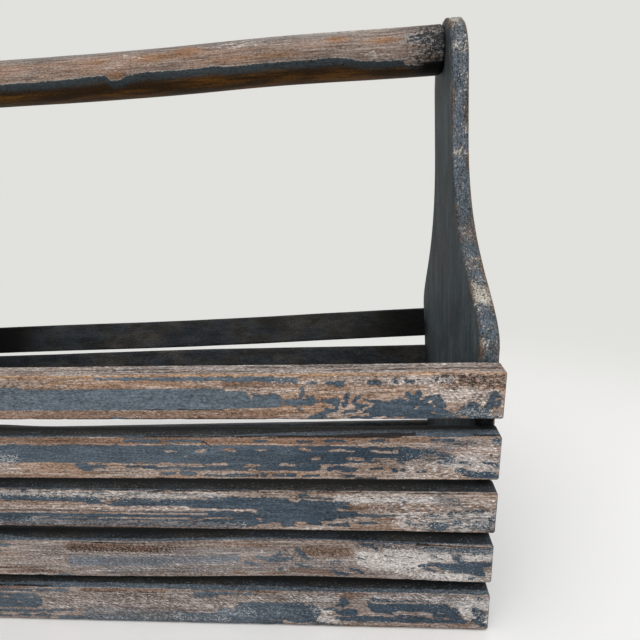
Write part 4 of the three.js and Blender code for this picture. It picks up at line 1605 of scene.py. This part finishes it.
def makeHandleTree():
    tree, given, result = makeTree("handleTree", {
        "Radius": 0.016,
        "Length": 0.457,
        "Arris": 0.002,
        "Uneven": 0.0005,
        "Sag": 0.0015,
        "Bow Centre": 0.1,
        "Bow Width": 0.08,
        "Bow Rise": 0.0,
        "Cells Round": 72,
        "Cells Along": 240,
        "Seed": 0.0,
        "Material": "NodeSocketMaterial",
    })
    rod = geometryNode(
        tree, "GeometryNodeMeshCylinder", Vertices=given["Cells Round"], Side_Segments=given["Cells Along"],
        Fill_Segments=5, Radius=given["Radius"], Depth=given["Length"])
    start = splitXyz(tree, tree.nodes.new("GeometryNodeInputPosition").outputs[0])
    along = start["Z"]
    radius = calc(tree, "SQRT", plus(tree, square(tree, start["X"]), square(tree, start["Y"])))
    fromEnd = minus(tree, times(tree, given["Length"], 0.5), calc(tree, "ABSOLUTE", along))
    # the ends are eased over the arris
    ease = rise(tree, fromEnd, 0.0, given["Arris"], 0.9, 1.0)
    seeded = joinXyz(tree, timesPlus(tree, along, 0.25, given["Seed"]), start["X"], start["Y"])
    bumps = times(tree, swing(tree, seeded, 60, 3, 0.5), given["Uneven"])
    grow = plus(tree, ease, divided(tree, bumps, given["Radius"]))
    share = divided(tree, times(tree, along, 2.0), given["Length"])
    sag = times(tree, minus(tree, 1.0, square(tree, share)), given["Sag"])
    sag = minus(tree, sag, bowed(tree, along, given))
    # turned so that the rod lies along x, with z up
    up = minus(tree, times(tree, start["Y"], grow), sag)
    shaped = joinXyz(tree, along, times(tree, start["X"], times(tree, grow, -1.0)), up)
    around = calc(tree, "ARCTAN2", start["Y"], start["X"])
    mesh = keepField(
        tree, rod.outputs["Mesh"], "place", "FLOAT_VECTOR", joinXyz(tree, along, around, radius))
    moved = geometryNode(tree, "GeometryNodeSetPosition", Geometry=mesh, Position=shaped)
    endTree(tree, moved.outputs[0], given["Material"], result)
    return tree


# Where the paint of the handle's front is torn off: x in millimetres, angle below the front in degrees
handleTear = [
    (-240, 25), (-150, 18), (-60, 20), (-28, 16), (-13, 14), (-10, 29), (-2, 28), (2, 21), (14, 15),
    (32, 17), (57, 18), (66, 15), (74, 20), (92, 21), (113, 20), (134, 21), (155, 20), (164, 24),
    (171, 31), (187, 35), (200, 34), (201.5, 47), (212, 52), (222, 44), (240, 46),
]
# Spots on the handle's front: x in millimetres, degrees above the front, and reach along and around
orangeSpots = [
    (-19, 20, 9, 12), (49, 26, 11, 14), (22, 19, 15, 10), (-5, -17, 7, 12), (98, -5, 34, 8),
    (155, 24, 7, 8), (189, 12, 12, 7),
]
paleSpots = [
    (6, 28, 7, 10), (-5, 3, 9, 8), (85, 34, 20, 16), (181, -21, 9, 10), (150, 60, 60, 14),
    (206, -36, 8, 12),
]


def spotAmount(x, around, spots):
    amount = np.zeros(len(x))
    for spotX, spotAround, reachX, reachAround in spots:
        away = np.hypot((x - spotX) / reachX, (around - spotAround) / reachAround)
        amount = np.maximum(amount, 1 - smooth(away, 0.2, 1.8))
    return amount


def makeHandle(part):
    low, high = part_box("handle")
    values = {
        **part,
        "Radius": (high.z - low.z) / 2,
        "Length": high.x - low.x,
        "Seed": 4.0,
        "Material": wornHandle,
    }
    handle = runTree(makeHandleTree(), "handle_worn", values)
    mesh = handle.data
    radius = values["Radius"]
    place = readVectors(mesh, "place")
    x, angle = place[:, 0] / mm, place[:, 1]
    outward = np.abs(x)
    around = np.degrees(angle)
    below = np.where(around > 180, 360 - around, -around)      # degrees below the front of the handle
    tear = np.interp(x, *zip(*handleTear))
    tearBehind = 150 + 7 * np.sin(x * 0.07) + 4 * np.sin(x * 0.31)
    level = np.minimum(below - tear, tearBehind - below) * math.radians(1) * radius / mm
    # blotches of paint on the front near the end boards
    wander = 9 * np.sin(around * 0.11) + 5 * np.sin(around * 0.29 + 1)
    onFront = smooth(around, -60, -15) * smooth(-around, -75, -15)
    blotches = -4 + 4.45 * smooth(outward + wander, 180, 216) * onFront
    brownFrom = tear + 11 - 9 * smooth(outward, 198, 203)
    # darker all round near the end boards, and a painted shadow under the joint with each board
    nearBoard = smooth(outward, 192, 222)
    joint = smooth(outward, 208, 217) * smooth(below, 35, 50)
    fields = {
        "blue": np.clip(np.maximum(level * strokeEdge["slope"], blotches), -5, 5),
        "inside": smooth(below, brownFrom, brownFrom + 15),
        "grey": 0.2 + 0.7 * smooth(around, 20, 52) + 0.25 * smooth(outward, 110, 200),
        "pale": 0.24 + 0.38 * spotAmount(x, around, paleSpots),
        "rust": spotAmount(x, around, orangeSpots) + 0.2 * np.sin(x * 0.045),
        "grime": 0.16 + 0.12 * smooth(outward, 110, 190) + 0.42 * nearBoard,
        "paintedShade": np.maximum(0.98 * joint, 0.24 * nearBoard),
    }
    for key, numbers in fields.items():
        writeNumbers(mesh, key, numbers)
    wrapped = np.stack([place[:, 0], np.cos(angle) * radius, np.sin(angle) * radius], 1)
    writeVectors(mesh, "place", wrapped + 3)
    middle = (low + high) / 2
    mesh.transform(Matrix.Translation(middle))
    settle(handle, "worn_grip", "handle")


makeHandle(handleShape)
print("handle made")


# Nails and screws: heads on points that carry their outward direction

nailShape = {"Head Radius": 1.5 * mm, "Head Height": 0.7 * mm, "Proud": 0.15 * mm}
screwShape = {"Head Radius": 4.2 * mm, "Head Height": 1.2 * mm, "Proud": 0.35 * mm}


def domedHead(tree):
    return geometryNode(tree, "GeometryNodeMeshUVSphere", Segments=16, Rings=8, Radius=1.0)


def slottedHead(tree):
    disc = geometryNode(tree, "GeometryNodeMeshCylinder", Vertices=32, Radius=1.0, Depth=2.0)
    bar = geometryNode(tree, "GeometryNodeMeshCube", Size=(3.0, 0.3, 1.0))
    raised = geometryNode(tree, "GeometryNodeTransform", Geometry=bar.outputs[0], Translation=(0, 0, 1))
    cut = tree.nodes.new("GeometryNodeMeshBoolean")
    cut.operation = "DIFFERENCE"
    feed(tree, disc.outputs["Mesh"], cut.inputs["Mesh 1"])
    feed(tree, raised.outputs[0], cut.inputs["Mesh 2"])
    return cut


def makeFastenerTree(name, headOfSizeOne, rounded):
    tree, given, result = makeTree(name, {
        "Points": "NodeSocketGeometry",
        "Head Radius": 0.0016,
        "Head Height": 0.0007,
        "Proud": 0.0001,
        "Seed": 1,
        "Material": "NodeSocketMaterial",
    })
    head = headOfSizeOne(tree)
    squash = joinXyz(tree, given["Head Radius"], given["Head Radius"], given["Head Height"])
    low = joinXyz(tree, 0.0, 0.0, minus(tree, given["Proud"], given["Head Height"]))
    placed = geometryNode(
        tree, "GeometryNodeTransform", Geometry=head.outputs[0], Translation=low, Scale=squash)
    named = tree.nodes.new("GeometryNodeInputNamedAttribute")
    named.data_type = "FLOAT_VECTOR"
    named.inputs["Name"].default_value = "outward"
    turn = tree.nodes.new("FunctionNodeAlignRotationToVector")
    turn.axis = "Z"
    feed(tree, named.outputs[0], turn.inputs["Vector"])
    vary = tree.nodes.new("FunctionNodeRandomValue")
    vary.data_type = "FLOAT_VECTOR"
    vary.inputs[0].default_value = (0.9, 0.9, 0.9)
    vary.inputs[1].default_value = (1.1, 1.1, 1.0)
    feed(tree, given["Seed"], vary.inputs["Seed"])
    spread = geometryNode(
        tree, "GeometryNodeInstanceOnPoints", Points=given["Points"], Instance=placed.outputs[0],
        Rotation=turn.outputs[0], Scale=vary.outputs[0])
    endTree(tree, spread.outputs[0], given["Material"], result, rounded)
    return tree


def makeFasteners(name, tree, seats, part):
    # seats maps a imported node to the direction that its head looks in
    spots = []
    for node, outward in seats.items():
        points = readVectors(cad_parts[node].data)
        reach = points @ np.array(outward)
        head = np.unique(points[reach > reach.max() - 0.01 * mm].round(6), axis=0)
        spot = head.mean(0) + np.array(outward) * 0.3 * mm
        spot[2] = max(spot[2], part["Proud"])
        spots.append(spot)
    points = bpy.data.meshes.new(name + "Points")
    points.from_pydata([tuple(spot) for spot in spots], [], [])
    writeVectors(points, "outward", [tuple(outward) for outward in seats.values()])
    made = runTree(tree, name, {**part, "Seed": 3, "Material": darkIron}, points)
    settle(made, "dark_iron", *seats)


nailSeats = {}
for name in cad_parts:
    if "_nail_" in name:
        nailSeats[name] = plankFrame(name.split("_nail_")[0])["out"]
makeFasteners("nails", makeFastenerTree("nailTree", domedHead, True), nailSeats, nailShape)
screwSeats = {f"handle_screw_{side}": Vector((x, 0, 0)) for side, x in (("left", -1), ("right", 1))}
makeFasteners("handle_screws", makeFastenerTree("screwTree", slottedHead, False), screwSeats, screwShape)
print("nails and screws set")
